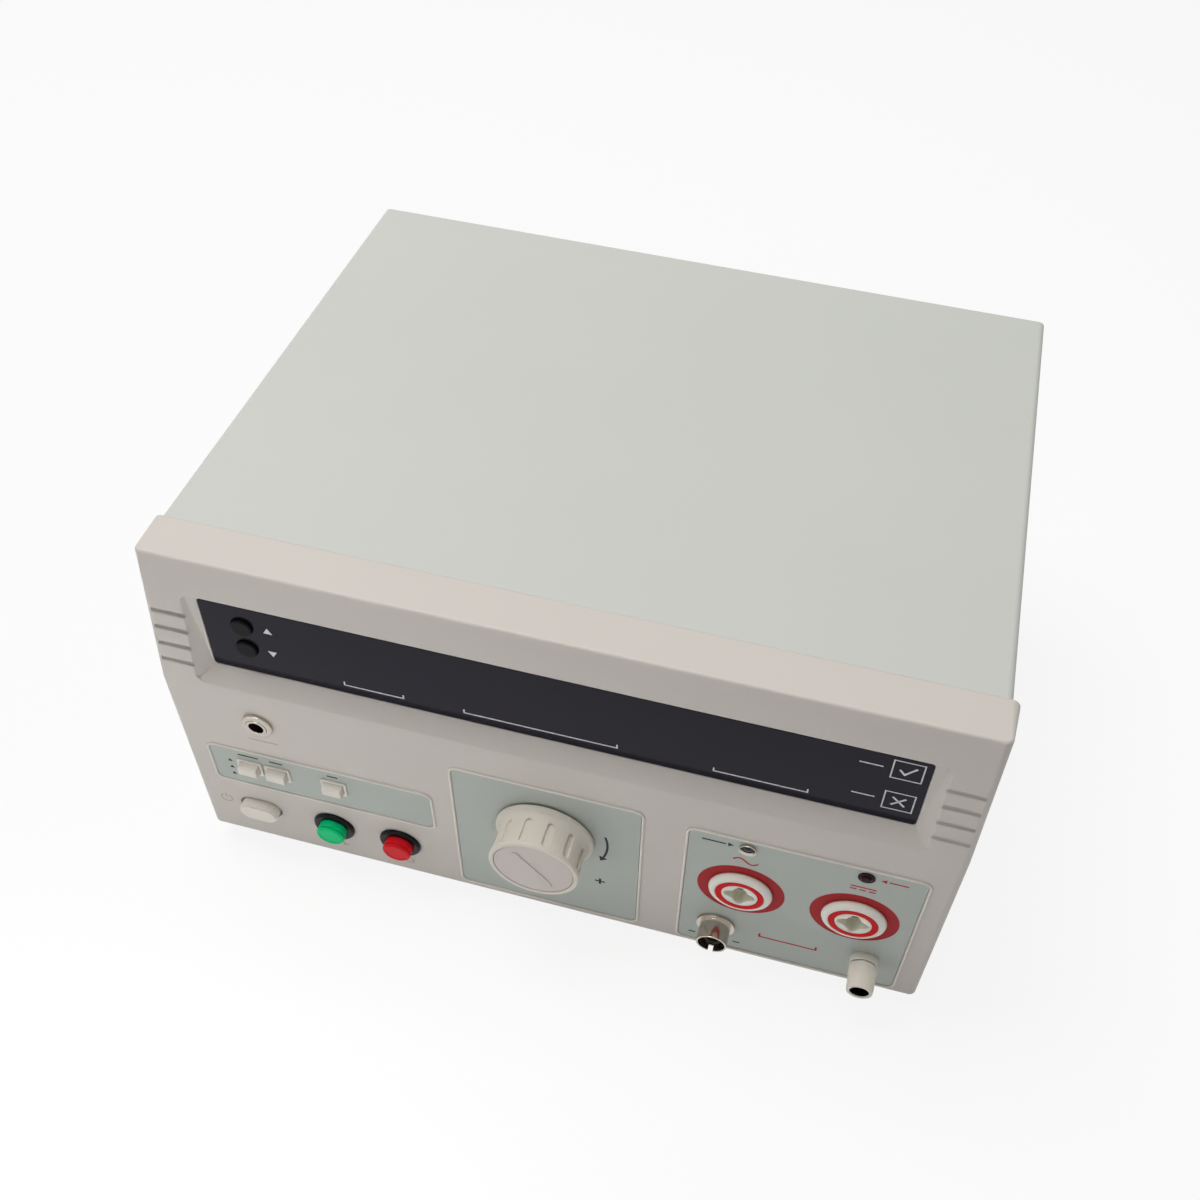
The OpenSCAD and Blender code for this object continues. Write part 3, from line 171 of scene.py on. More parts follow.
@dataclass(frozen=True)
class Finish:
    """A material: its colour, gloss and fine relief.

    Attributes:
        name: Name of the material.
        slot: The record's material slot.
        rgb: Colour as screen values.
        roughness: Mean roughness.
        grain: Fine relief.
        metallic: 1 for bare metal.
        coat: Weight of a clear coat.
        mottle: How far the colour varies from place to place.
        stretch: How far the relief is drawn out across X, for brushed metal.
        ior: Index of refraction, which sets how strongly a slanting look is mirrored.
        worn: Radius in millimetres over which the shading runs round an edge.
        scatter: Depth in millimetres to which light goes into the material.
    """

    name: str
    slot: str
    rgb: tuple[int, int, int]
    roughness: float
    grain: Grain
    metallic: float = 0.0
    coat: float = 0.0
    mottle: float = 0.03
    stretch: float = 1.0
    ior: float = 1.45
    worn: float = 0.0
    scatter: float = 0.0

    def material(self) -> bpy.types.Material:
        """Returns this finish's material, made on first use."""
        return bpy.data.materials.get(f"{self.name}_finish") or self._make()

    def _make(self) -> bpy.types.Material:
        """Builds the node tree: mottled colour, uneven roughness and a fine bump on object coordinates.

        Returns:
            The material.
        """
        size, depth = self.grain.value
        material = bpy.data.materials.new(f"{self.name}_finish")
        material.use_nodes = True
        tree = material.node_tree
        place = add_node(tree, "ShaderNodeTexCoord", {}).outputs["Object"]
        drawn = add_node(tree, "ShaderNodeMapping", {"Vector": place, "Scale": (1 / self.stretch, 1.0, 1.0)})
        broad = self._noise(tree, place, *MOTTLE_NOISE)
        patch = self._noise(tree, place, *ROUGH_NOISE)
        fine = self._noise(tree, drawn.outputs["Vector"], 1 / (size * MM), GRAIN_DETAIL)
        dark, pale = linear(self.rgb, 1 - self.mottle), linear(self.rgb, 1 + self.mottle)
        tint = add_node(tree, "ShaderNodeMix", {"Factor": broad, "A": dark, "B": pale}, data_type="RGBA")
        low, high = self.roughness * (1 - ROUGH_SPREAD), min(self.roughness * (1 + ROUGH_SPREAD), 1.0)
        spread = add_node(tree, "ShaderNodeMapRange", {"Value": patch, "To Min": low, "To Max": high})
        bump = add_node(tree, "ShaderNodeBump", {"Strength": BUMP, "Distance": depth * MM, "Height": fine})
        shader = tree.nodes["Principled BSDF"]
        wire(tree, shader, {
            "Metallic": self.metallic, "IOR": self.ior,
            "Coat Weight": self.coat, "Coat Roughness": COAT_ROUGH,
            "Base Color": tint.outputs["Result"], "Roughness": spread.outputs["Result"],
            "Normal": bump.outputs["Normal"]})
        if self.scatter:
            wire(tree, shader, {"Subsurface Weight": SCATTER_SHARE, "Subsurface Radius": SCATTER_REACH,
                                "Subsurface Scale": self.scatter * MM})
        if self.worn:
            edge = add_node(tree, "ShaderNodeBevel", {"Radius": self.worn * MM}, samples=EDGE_SAMPLES)
            wire(tree, bump, {"Normal": edge.outputs["Normal"]})
        return material

    @staticmethod
    def _noise(
        tree: bpy.types.NodeTree, place: bpy.types.NodeSocket, scale: float, detail: float
    ) -> bpy.types.NodeSocket:
        """Returns the value of a noise at a place, by its grains per metre and its levels of detail."""
        inputs = {"Vector": place, "Scale": scale, "Detail": detail}
        return add_node(tree, "ShaderNodeTexNoise", inputs).outputs["Fac"]


BEZEL = Finish("moulded_bezel", "bezel_plastic", (208, 201, 194), 0.5, Grain.MOULDED, worn=0.6)
# Paler copy of the bezel plastic for the ridge crowns: a painted highlight where the ridges catch light from
# above.
HIGHLIT_RIDGE = Finish("highlit_ridge", "bezel_plastic", (230, 224, 212), 0.32, Grain.SATIN)
COVER = Finish("powder_coat", "cover_paint", (201, 203, 196), 0.48, Grain.POWDER, mottle=0.02)
ZINC = Finish("zinc_sheet", "chassis_steel", (186, 190, 190), 0.34, Grain.METAL, metallic=1.0, stretch=12.0)
SCREW = Finish("screw_steel", "chassis_steel", (176, 178, 178), 0.3, Grain.METAL, metallic=1.0)
WINDOW = Finish("smoked_window", "window_acrylic", (29, 26, 38), 0.06, Grain.GLOSS, mottle=0.02, ior=1.19)
PLATE = Finish("printed_plate", "plate_print", (180, 186, 179), 0.45, Grain.FILM, mottle=0.02)
KEY = Finish("key_plastic", "key_plastic", (226, 220, 210), 0.42, Grain.SATIN)
POWER = Finish("power_plastic", "power_plastic", (234, 229, 218), 0.45, Grain.SATIN)
KNOB = Finish("knob_plastic", "knob_plastic", (221, 214, 202), 0.48, Grain.SATIN, ior=1.4)
CAP = Finish("cap_plastic", "knob_plastic", (206, 196, 190), 0.45, Grain.SATIN, ior=1.4)
POST = Finish("post_plastic", "knob_plastic", (238, 233, 220), 0.5, Grain.SATIN)
GREEN = Finish("green_cap", "green_plastic", (4, 208, 130), 0.35, Grain.GLOSS, ior=1.18)
RED = Finish("red_cap", "red_plastic", (224, 26, 38), 0.35, Grain.GLOSS, ior=1.18)
RED_RING = Finish("red_ring", "red_ring", (214, 14, 24), 0.4, Grain.SATIN, ior=1.16)
RED_LENS = Finish("red_lens", "red_led", (40, 3, 6), 0.12, Grain.GLOSS, ior=1.16)
CLEAR_LENS = Finish("clear_lens", "clear_led", (24, 26, 28), 0.06, Grain.GLOSS, coat=0.15, ior=1.3)
BLACK = Finish("black_plastic", "black_plastic", (15, 15, 17), 0.42, Grain.SATIN, ior=1.18)
BLACK_GLOSS = Finish("black_gloss", "black_plastic", (11, 11, 13), 0.28, Grain.GLOSS, ior=1.22)
WHITE = Finish("white_insulator", "insulator", (255, 248, 230), 0.35, Grain.SATIN, scatter=4.0)
CHROME = Finish("nickel_chrome", "chrome", (190, 183, 172), 0.17, Grain.METAL, metallic=1.0)
BRASS = Finish("turned_brass", "brass", (201, 170, 98), 0.3, Grain.METAL, metallic=1.0)
RUBBER = Finish("foot_rubber", "rubber", (38, 38, 40), 0.75, Grain.RUBBER, mottle=0.08)
BOARD = Finish("circuit_board", "circuit_board", (36, 96, 54), 0.4, Grain.BOARD, mottle=0.1)
DIGIT = Finish("digit_plastic", "digit_plastic", (52, 26, 26), 0.35, Grain.SATIN)
LAMP = Finish("lamp_plastic", "lamp_plastic", (224, 220, 208), 0.5, Grain.SATIN)
COPPER = Finish("wound_copper", "coil_copper", (176, 102, 58), 0.35, Grain.METAL, metallic=1.0, stretch=20.0)
CORE = Finish("core_steel", "core_steel", (92, 95, 98), 0.55, Grain.METAL, metallic=0.8, stretch=8.0)
ALLOY = Finish("cast_alloy", "base_alloy", (160, 163, 165), 0.5, Grain.RUBBER, metallic=1.0)
CAN = Finish("sleeved_can", "dark_can", (30, 34, 46), 0.3, Grain.GLOSS)
INK_WHITE = Finish("white_ink", "window_acrylic", (214, 214, 220), 0.5, Grain.FILM, mottle=0.01)
INK_DARK = Finish("dark_ink", "plate_print", (40, 46, 46), 0.5, Grain.FILM, mottle=0.01, ior=1.2)
INK_RED = Finish("red_ink", "plate_print", (186, 44, 48), 0.5, Grain.FILM, mottle=0.02, ior=1.2)
INK_DISC = Finish("disc_ink", "plate_print", (168, 38, 42), 0.5, Grain.FILM, mottle=0.03, ior=1.2)
INK_TAN = Finish("tan_ink", "bezel_plastic", (188, 174, 146), 0.5, Grain.FILM, mottle=0.02)


def extent(points: list) -> tuple[Vector, Vector]:
    """Returns the lowest and the highest corner of the box round some points."""
    axes = list(zip(*points))
    return Vector([min(axis) for axis in axes]), Vector([max(axis) for axis in axes])


@dataclass(frozen=True)
class Face:
    """A flat face of the tester: its zero point in metres, and the directions across, up and out of it."""

    origin: Vector
    across: Vector
    up: Vector
    out: Vector

    @classmethod
    def facing(cls, inward: Point3, origin: Vector) -> "Face":
        """Makes a face from the direction into it.

        Args:
            inward: Direction into the face.
            origin: The face's zero point.

        Returns:
            The face.
        """
        out = -Vector(inward).normalized()
        across = Vector((1.0, 0.0, 0.0))
        return cls(origin, across, out.cross(across), out)

    def point(self, x: float, y: float, lift: float = 0.0) -> Vector:
        """Returns the place of a point that is given in millimetres across, up and out of the face."""
        return self.origin + (self.across * x + self.up * y + self.out * lift) * MM

    def matrix(self, x: float, y: float, lift: float = 0.0) -> Matrix:
        """Returns the matrix from a point's own axes, across, up and out, to the part's frame."""
        turn = Matrix((self.across, self.up, self.out)).transposed().to_4x4()
        return Matrix.Translation(self.point(x, y, lift)) @ turn

    def local(self, point: Vector) -> Point3:
        """Returns a place as millimetres across, up and out of the face."""
        offset = (point - self.origin) / MM
        return offset.dot(self.across), offset.dot(self.up), offset.dot(self.out)

    def corners(self, node: str) -> list[Point3]:
        """Returns a CAD node's corners in millimetres across, up and out of the face."""
        return [self.local(v.co) for v in frame["nodes"][node].data.vertices]

    def span(self, node: str) -> tuple[Vector, Vector]:
        """Returns a CAD node's lowest and highest corner in millimetres across, up and out of the face."""
        return extent(self.corners(node))

    def centre(self, node: str) -> Point2:
        """Returns the middle of a CAD node in millimetres across and up the face."""
        low, high = self.span(node)
        return (low.x + high.x) / 2, (low.y + high.y) / 2


def front_face() -> Face:
    """Returns the lower control face, with its zero at the regulator's axis."""
    joint = JOINTS["regulator_turn"]
    return Face.facing(joint["axis"], Vector(joint["pos_m"]))


def window_face() -> Face:
    """Finds the front of the display window.

    Returns:
        The face, with its zero at the window's middle.
    """
    low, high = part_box("display_window")
    rough = Face.facing(JOINTS["up_press"]["axis"], (low + high) / 2)
    return Face.facing(JOINTS["up_press"]["axis"], rough.point(0, 0, rough.span("display_window")[1].z))


def finished(name: str, mesh: bpy.types.Mesh, finish: Finish, body: str) -> bpy.types.Object:
    """Puts a mesh into the scene as a piece that rides on a body.

    Args:
        name: The piece's name.
        mesh: Its mesh, in the part's frame.
        finish: Its finish.
        body: The body that carries it.

    Returns:
        The piece.
    """
    piece = bpy.data.objects.new(name, mesh)
    bpy.context.scene.collection.objects.link(piece)
    mesh.materials.clear()
    mesh.materials.append(finish.material())
    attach(piece, body)
    LOG.info("%s rides on %s, %d faces", name, body, len(mesh.polygons))
    return piece


def smoothed(mesh: bpy.types.Mesh, sharp: float = SMOOTH) -> bpy.types.Mesh:
    """Smooths a mesh's shading.

    Args:
        mesh: The mesh.
        sharp: Angle in degrees above which an edge stays sharp.

    Returns:
        The same mesh.
    """
    mesh.shade_smooth()
    mesh.set_sharp_from_angle(angle=math.radians(sharp))
    return mesh


def merged(node: str) -> bmesh.types.BMesh:
    """Copies a CAD node's mesh and joins its corners.

    Args:
        node: The node.

    Returns:
        The copy, which has to be freed.
    """
    shape = bmesh.new()
    shape.from_mesh(frame["nodes"][node].data)
    bmesh.ops.remove_doubles(shape, verts=shape.verts, dist=JOIN * MM)
    return shape


def meshed(shape: bmesh.types.BMesh, name: str) -> bpy.types.Mesh:
    """Turns a shape into a mesh and frees it.

    Args:
        shape: The shape.
        name: The mesh's name.

    Returns:
        The mesh.
    """
    mesh = bpy.data.meshes.new(name)
    shape.to_mesh(mesh)
    shape.free()
    return mesh


def settled(piece: bpy.types.Object) -> bpy.types.Mesh:
    """Applies a piece's modifiers and removes them from it.

    Args:
        piece: The piece.

    Returns:
        The result as a plain mesh.
    """
    graph = bpy.context.evaluated_depsgraph_get()
    mesh = bpy.data.meshes.new_from_object(piece.evaluated_get(graph))
    piece.modifiers.clear()
    return mesh


def turned(
    name: str, face: Face, at: Point2, profile: list[Point2], finish: Finish, body: str, steps: int = 64
) -> None:
    """Makes a ring that is round about a face's normal.

    Args:
        name: The piece's name.
        face: The face that it stands on.
        at: Its middle in millimetres across and up the face.
        profile: Its closed outline as radius and height above the face, anticlockwise.
        finish: Its finish.
        body: The body that carries it.
        steps: Facets round it.
    """
    shape = bmesh.new()
    rings = []
    for k in range(steps):
        c, s = math.cos(2 * math.pi * k / steps), math.sin(2 * math.pi * k / steps)
        rings.append([shape.verts.new(face.point(at[0] + r * c, at[1] + r * s, z)) for r, z in profile])
    for ring, after in zip(rings, rings[1:] + rings[:1]):
        for i in range(len(profile)):
            j = (i + 1) % len(profile)
            shape.faces.new((ring[i], after[i], after[j], ring[j]))
    bmesh.ops.recalc_face_normals(shape, faces=shape.faces)
    finished(name, smoothed(meshed(shape, name)), finish, body)


@dataclass(frozen=True)
class Softened:
    """A copy of a CAD piece whose edges are broken by a small radius.

    Attributes:
        node: The CAD node that the copy stands for.
        finish: Its finish.
        radius: Radius along its edges in millimetres.
        sharp: Angle in degrees above which an edge is broken.
        steps: Facets across the radius.
        margin: Distance from the piece's sides within which edges stay as they are, in millimetres.
        calm: Height in millimetres above which short edges stay as they are.
        short: Length of such a short edge.
        least: Length of the shortest edge that is broken, in radii.
    """

    node: str
    finish: Finish
    radius: float
    sharp: float = 32.0
    steps: int = 2
    margin: float = 0.0
    calm: float = math.inf
    short: float = 2.0
    least: float = 1.2

    def build(self) -> None:
        """Makes the copy, breaks its edges and hides the CAD node."""
        shape = merged(self.node)
        bmesh.ops.dissolve_limit(shape, angle_limit=math.radians(FLAT), verts=shape.verts, edges=shape.edges)
        low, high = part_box(self.node)
        inset = Vector((1.0, 0.0, 1.0)) * self.margin * MM
        edges = [e for e in shape.edges if self._breaks(e, low + inset, high - inset)]
        bmesh.ops.bevel(
            shape, geom=edges, offset=self.radius * MM, segments=self.steps, profile=0.5, affect="EDGES",
            clamp_overlap=False, loop_slide=True,
        )
        bmesh.ops.remove_doubles(shape, verts=shape.verts, dist=JOIN / 2 * MM)
        mesh = smoothed(meshed(shape, f"{self.node}_soft"), self.sharp)
        rough = bpy.data.objects.new(mesh.name, mesh)
        bpy.context.scene.collection.objects.link(rough)
        weighted = rough.modifiers.new("normals", "WEIGHTED_NORMAL")
        weighted.keep_sharp = True
        smooth = settled(rough)
        bpy.data.objects.remove(rough)
        piece = finished(f"{self.node}_soft", smooth, self.finish, BODY_OF[self.node])
        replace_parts(piece, self.node)

    def _breaks(self, edge: bmesh.types.BMEdge, low: Vector, high: Vector) -> bool:
        """Tells whether an edge is broken.

        Args:
            edge: The edge.
            low: Lowest corner of the box that it has to lie in.
            high: Highest corner of that box.

        Returns:
            True if it is sharp, long enough for the radius and its height, and inside the box.
        """
        length = edge.calc_length()
        if len(edge.link_faces) != 2 or length < self.least * self.radius * MM:
            return False
        if length < self.short * MM and min(v.co.z for v in edge.verts) > self.calm * MM:
            return False
        slack = SLACK * MM
        for vert in edge.verts:
            if any(not low[i] - slack <= vert.co[i] <= high[i] + slack for i in range(3)):
                return False
        return edge.calc_face_angle(0.0) > math.radians(self.sharp)


@dataclass
class Assembly:
    """A sub-assembly whose outer pieces are softened copies of CAD nodes."""

    soft: tuple[Softened, ...] = ()

    def build(self) -> None:
        """Builds the softened copies."""
        for copy in self.soft:
            copy.build()


class Kind(Enum):
    """Kinds of printed mark, each with the name of the method that adds it."""

    TRIANGLE = "triangle"
    BAR = "bar"
    BOX = "box"
    ARC = "arc"
    PATH = "path"


@dataclass(frozen=True)
class Mark:
    """A mark beside a CAD node: its kind, its place from the node's middle and its method's other values."""

    node: str
    kind: Kind
    at: Point2
    sizes: tuple


def bracket(half: float, drop: float) -> tuple[Point2, ...]:
    """Returns the path of a bracket that opens upwards, by half its width and its height."""
    return (-half, 0.0), (-half, -drop), (half, -drop), (half, 0.0)


def wave(half: float, rise: float, steps: int = 24) -> tuple[Point2, ...]:
    """Returns the path of one wave, by half its length, its height and its number of straight pieces."""
    turns = [k / steps for k in range(steps + 1)]
    return tuple((half * (2 * t - 1), rise * math.sin(2 * math.pi * t)) for t in turns)


@dataclass
class Print:
    """Flat printed marks in one colour on one face, gathered as outlines in millimetres.

    Attributes:
        name: The piece's name.
        face: The face that they are printed on.
        finish: The ink.
        body: The body that carries the face.
        lift: Height of the printed surface above the face's zero.
        thick: Thickness of the ink.
        step: Degrees from one corner of an arc to the next.
        mitre: Least cosine at a line's corner, which limits how far its point reaches.
        outlines: The outlines so far.
    """

    name: str
    face: Face
    finish: Finish
    body: str = "case"
    lift: float = 0.0
    thick: float = 0.05
    step: float = 7.5
    mitre: float = 0.4
    outlines: list[list[Point2]] = field(default_factory=list)

    def triangle(self, x: float, y: float, size: float, turn: float = 0.0) -> None:
        """Adds a triangle.

        Args:
            x: Its middle across.
            y: Its middle up.
            size: Distance from its middle to a corner.
            turn: Degrees that it is turned from pointing up, anticlockwise.
        """
        corners = [math.radians(90 + turn + k * 120) for k in range(3)]
        self.outlines.append([(x + size * math.cos(a), y + size * math.sin(a)) for a in corners])

    def bar(self, x: float, y: float, half: float, width: float) -> None:
        """Adds a level bar about a middle, by half its length and its width."""
        up = width / 2
        self.outlines.append([(x - half, y - up), (x + half, y - up), (x + half, y + up), (x - half, y + up)])

    def path(self, x: float, y: float, points: tuple[Point2, ...], width: float) -> None:
        """Adds a line of even width through points that are given from a middle."""
        self.stroke([(x + a, y + b) for a, b in points], width)

    def stroke(self, path: list[Point2], width: float, closed: bool = False) -> None:
        """Adds a line of even width.

        Args:
            path: Points along the line.
            width: Its width.
            closed: Whether it runs back to its start.
        """
        count = len(path)
        left, right = [], []
        for i, (x, y) in enumerate(path):
            before = path[i - 1] if closed or i > 0 else path[i]
            after = path[(i + 1) % count] if closed or i < count - 1 else path[i]
            run = Vector((x - before[0], y - before[1])), Vector((after[0] - x, after[1] - y))
            ways = [r.normalized() for r in run if r.length > 0]
            mean = sum(ways, Vector((0.0, 0.0))).normalized()
            reach = width / 2 / max(mean.dot(ways[0]), self.mitre)
            side = Vector((-mean.y, mean.x)) * reach
            left.append((x + side.x, y + side.y))
            right.append((x - side.x, y - side.y))
        for i in range(count if closed else count - 1):
            j = (i + 1) % count
            self.outlines.append([left[i], right[i], right[j], left[j]])

    def arc(self, x: float, y: float, radius: float, start: float, end: float, width: float) -> None:
        """Adds an arc, or a ring when its ends are 360 degrees apart.

        Args:
            x: Its middle across.
            y: Its middle up.
            radius: Its radius.
            start: Angle of its start in degrees.
            end: Angle of its end.
            width: The line's width.
        """
        sweep = end - start
        steps = int(abs(sweep) / self.step)
        whole = abs(sweep) >= 360
        angles = [math.radians(start + sweep * k / steps) for k in range(steps if whole else steps + 1)]
        path = [(x + radius * math.cos(a), y + radius * math.sin(a)) for a in angles]
        self.stroke(path, width, whole)

    def box(self, x: float, y: float, half: Point2, width: float) -> None:
        """Adds a rectangle's outline about a middle, by half its sides and the line's width."""
        a, b = half
        self.stroke([(x - a, y - b), (x + a, y - b), (x + a, y + b), (x - a, y + b)], width, True)

    def put(self, marks: tuple[Mark, ...]) -> None:
        """Adds marks beside their nodes and makes the piece.

        Args:
            marks: The marks.
        """
        for mark in marks:
            x, y = self.face.centre(mark.node)
            getattr(self, mark.kind.value)(x + mark.at[0], y + mark.at[1], *mark.sizes)
        self.build()

    def build(self) -> None:
        """Makes the marks as thin closed solids on their face."""
        shape = bmesh.new()
        for points in self.outlines:
            shape.faces.new([shape.verts.new(self.face.point(x, y, self.lift)) for x, y in points])
        bmesh.ops.remove_doubles(shape, verts=shape.verts, dist=JOIN * MM)
        grown = bmesh.ops.extrude_face_region(shape, geom=shape.faces[:])["geom"]
        moved = [g for g in grown if isinstance(g, bmesh.types.BMVert)]
        bmesh.ops.translate(shape, verts=moved, vec=self.face.out * self.thick * MM)
        bmesh.ops.recalc_face_normals(shape, faces=shape.faces)
        finished(self.name, meshed(shape, self.name), self.finish, self.body)


class Tree:
    """A Geometry Nodes tree under construction, with named inputs."""

    def __init__(self, name: str, sizes: dict[str, float]) -> None:
        """Starts the tree.

        Args:
            name: The tree's name.
            sizes: Its named sizes in metres, or counts, with their values.
        """
        self.group = bpy.data.node_groups.new(name, "GeometryNodeTree")
        sockets = self.group.interface
        sockets.new_socket("Geometry", in_out="INPUT", socket_type="NodeSocketGeometry")
        self.sizes = sizes
        self.ids = {}
        for label in sizes:
            kind = "NodeSocketInt" if isinstance(sizes[label], int) else "NodeSocketFloat"
            self.ids[label] = sockets.new_socket(label, in_out="INPUT", socket_type=kind).identifier
        material = sockets.new_socket("Material", in_out="INPUT", socket_type="NodeSocketMaterial")
        self.ids["Material"] = material.identifier
        sockets.new_socket("Geometry", in_out="OUTPUT", socket_type="NodeSocketGeometry")
        self.start = self.group.nodes.new("NodeGroupInput")
        self.end = self.group.nodes.new("NodeGroupOutput")

    def add(self, kind: str, inputs: dict, **settings: object) -> bpy.types.Node:
        """Adds a node.

        Args:
            kind: Its type.
            inputs: What its inputs take, as for wire, or the names of sizes.
            **settings: Its own settings.

        Returns:
            The node.
        """
        taken = dict(inputs)
        for key, value in inputs.items():
            if isinstance(value, str) and value in self.start.outputs:
                taken[key] = self.start.outputs[value]
        return add_node(self.group, kind, taken, **settings)

    def vector(self, x: Value, y: Value, z: Value) -> bpy.types.NodeSocket:
        """Returns a vector socket made of three sockets, named sizes or values."""
        return self.add("ShaderNodeCombineXYZ", {"X": x, "Y": y, "Z": z}).outputs["Vector"]

    def times(self, value: Value, factor: float) -> bpy.types.NodeSocket:
        """Returns a socket that holds a socket's, named size's or plain value times a factor."""
        return self.add("ShaderNodeMath", {0: value, 1: factor}, operation="MULTIPLY").outputs[0]

    def lifted(self, mesh: bpy.types.Node, height: Value) -> bpy.types.NodeSocket:
        """Returns a primitive's mesh, moved along Z by a socket, a named size or a value."""
        return self.add("GeometryNodeTransform", {
            "Geometry": mesh.outputs["Mesh"], "Translation": self.vector(0.0, 0.0, height)}).outputs[0]

    def finish(self, geometry: bpy.types.NodeSocket) -> None:
        """Ends the tree: instances made real, and the material set.

        Args:
            geometry: What the tree has made.
        """
        real = self.add("GeometryNodeRealizeInstances", {"Geometry": geometry})
        painted = self.add("GeometryNodeSetMaterial", {"Geometry": real.outputs[0], "Material": "Material"})
        wire(self.group, self.end, {0: painted.outputs[0]})

    def run(self, seed: bpy.types.Mesh, finish: Finish) -> bpy.types.Mesh:
        """Runs the tree on a mesh.

        Args:
            seed: The mesh that it starts from.
            finish: The finish of what it makes.

        Returns:
            The result as a plain mesh.
        """
        carrier = bpy.data.objects.new("carrier", seed)
        bpy.context.scene.collection.objects.link(carrier)
        modifier = carrier.modifiers.new("nodes", "NODES")
        modifier.node_group = self.group
        for label, value in self.sizes.items():
            modifier[self.ids[label]] = value
        modifier[self.ids["Material"]] = finish.material()
        mesh = settled(carrier)
        bpy.data.objects.remove(carrier)
        return mesh


def islands(node: str) -> list[list[Vector]]:
    """Parts a CAD node into its separate solids.

    Args:
        node: The node.

    Returns:
        The corners of each solid.
    """
    shape = merged(node)
    seen, found = set(), []
    for vert in shape.verts:
        if vert in seen:
            continue
        group, queue = [], [vert]
        seen.add(vert)
        while queue:
            at = queue.pop()
            group.append(at.co.copy())
            for edge in at.link_edges:
                other = edge.other_vert(at)
                if other not in seen:
                    seen.add(other)
                    queue.append(other)
        found.append(group)
    shape.free()
    return found


@dataclass
class CaseShell(Assembly):
    """Painted cover, rear wall, chassis, feet and their screws.

    Attributes:
        head_r: Radius of a screw head in millimetres.
        head_h: Height of a screw head.
        dome: Height of the ball that rounds it, in head heights.
        shank_r: Radius of a screw's shank.
        shank: Length of its shank.
        slot_w: Width of its cross recess.
        slot_len: Length of its cross recess.
        slot_deep: Depth of its cross recess.
        stock: Width of the block that the head is cut from.
        facets: Facets round the head.
        shank_facets: Facets round the shank.
        shank_slack: How far outside the shank's radius a corner belongs to the head.
    """

    soft: tuple[Softened, ...] = (
        Softened("top_cover", COVER, 0.3),
        Softened("rear_panel", COVER, 0.25),
        Softened("chassis_base", ZINC, 0.2),
        Softened("rubber_feet", RUBBER, 0.8, steps=3),
        Softened("foot_screws", SCREW, 0.2),
    )
    head_r: float = 2.8
    head_h: float = 1.8
    dome: float = 1.25
    shank_r: float = 1.5
    shank: float = 7.0
    slot_w: float = 0.75
    slot_len: float = 3.2
    slot_deep: float = 1.1
    stock: float = 20.0
    facets: int = 28
    shank_facets: int = 20
    shank_slack: float = 0.3

    def build(self) -> None:
        """Builds the case's pieces."""
        super().build()
        self._screws()

    def _seats(self) -> bpy.types.Mesh:
        """Finds where the case's screws sit.

        Returns:
            A mesh with a point at each seat, and each screw's direction as its axis.
        """
        spots, ways = [], []
        for corners in islands("case_screws"):
            low, high = extent(corners)
            middle = (low + high) / 2
            main = max(range(3), key=lambda i: high[i] - low[i])
            wide = [c for c in corners if self._off(c, middle, main) > (self.shank_r + self.shank_slack) * MM]
            side = 1.0 if sum(c[main] for c in wide) / len(wide) > middle[main] else -1.0
            middle[main] = (high if side > 0 else low)[main] - side * self.head_h * MM
            spots.append(middle)
            ways += [side if i == main else 0.0 for i in range(3)]
        mesh = bpy.data.meshes.new("screw_seats")
        mesh.from_pydata(spots, [], [])
        axis = mesh.attributes.new("axis", "FLOAT_VECTOR", "POINT")
        axis.data.foreach_set("vector", ways)
        return mesh

    @staticmethod
    def _off(corner: Vector, middle: Vector, main: int) -> float:
        """Returns a corner's distance from a screw's own axis."""
        return math.hypot(*[corner[i] - middle[i] for i in range(3) if i != main])

    def _screws(self) -> None:
        """Sets a cross-recessed pan-head screw on each seat with Geometry Nodes."""
        sizes = {"Head radius": self.head_r, "Head height": self.head_h, "Shank radius": self.shank_r,
                 "Shank": self.shank, "Recess width": self.slot_w, "Recess length": self.slot_len,
                 "Recess depth": self.slot_deep}
        tree = Tree("pan_head_screws", {label: value * MM for label, value in sizes.items()})
        ball = tree.add("GeometryNodeMeshUVSphere", {
            "Segments": self.facets, "Rings": self.facets // 2, "Radius": 1.0})
        tall = tree.times("Head height", self.dome)
        dome = tree.add("GeometryNodeTransform", {
            "Geometry": ball.outputs["Mesh"], "Scale": tree.vector("Head radius", "Head radius", tall)})
        width = self.stock * MM
        box = tree.add("GeometryNodeMeshCube", {"Size": tree.vector(width, width, "Head height")})
        raised = tree.lifted(box, tree.times("Head height", 0.5))
        both = [dome.outputs[0], raised]
        head = tree.add("GeometryNodeMeshBoolean", {"Mesh 2": both}, operation="INTERSECT")
        bars = []
        for size in (("Recess length", "Recess width"), ("Recess width", "Recess length")):
            deep = tree.times("Recess depth", 2.0)
            bar = tree.add("GeometryNodeMeshCube", {"Size": tree.vector(*size, deep)})
            bars.append(tree.lifted(bar, "Head height"))
        cut = tree.add("GeometryNodeMeshBoolean", {
            "Mesh 1": head.outputs["Mesh"], "Mesh 2": bars}, operation="DIFFERENCE")
        rod = tree.add("GeometryNodeMeshCylinder", {
            "Vertices": self.shank_facets, "Radius": "Shank radius", "Depth": "Shank"})
        shank = tree.lifted(rod, tree.times("Shank", -0.5))
        screw = tree.add("GeometryNodeJoinGeometry", {0: [cut.outputs["Mesh"], shank]})
        axis = tree.add("GeometryNodeInputNamedAttribute", {"Name": "axis"}, data_type="FLOAT_VECTOR")
        turn = tree.add("FunctionNodeAlignRotationToVector", {"Vector": axis.outputs["Attribute"]}, axis="Z")
        placed = tree.add("GeometryNodeInstanceOnPoints", {
            "Points": "Geometry", "Instance": screw.outputs[0], "Rotation": turn.outputs[0]})
        tree.finish(placed.outputs[0])
        mesh = smoothed(tree.run(self._seats(), SCREW))
        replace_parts(finished("case_screw_set", mesh, SCREW, "case"), "case_screws")


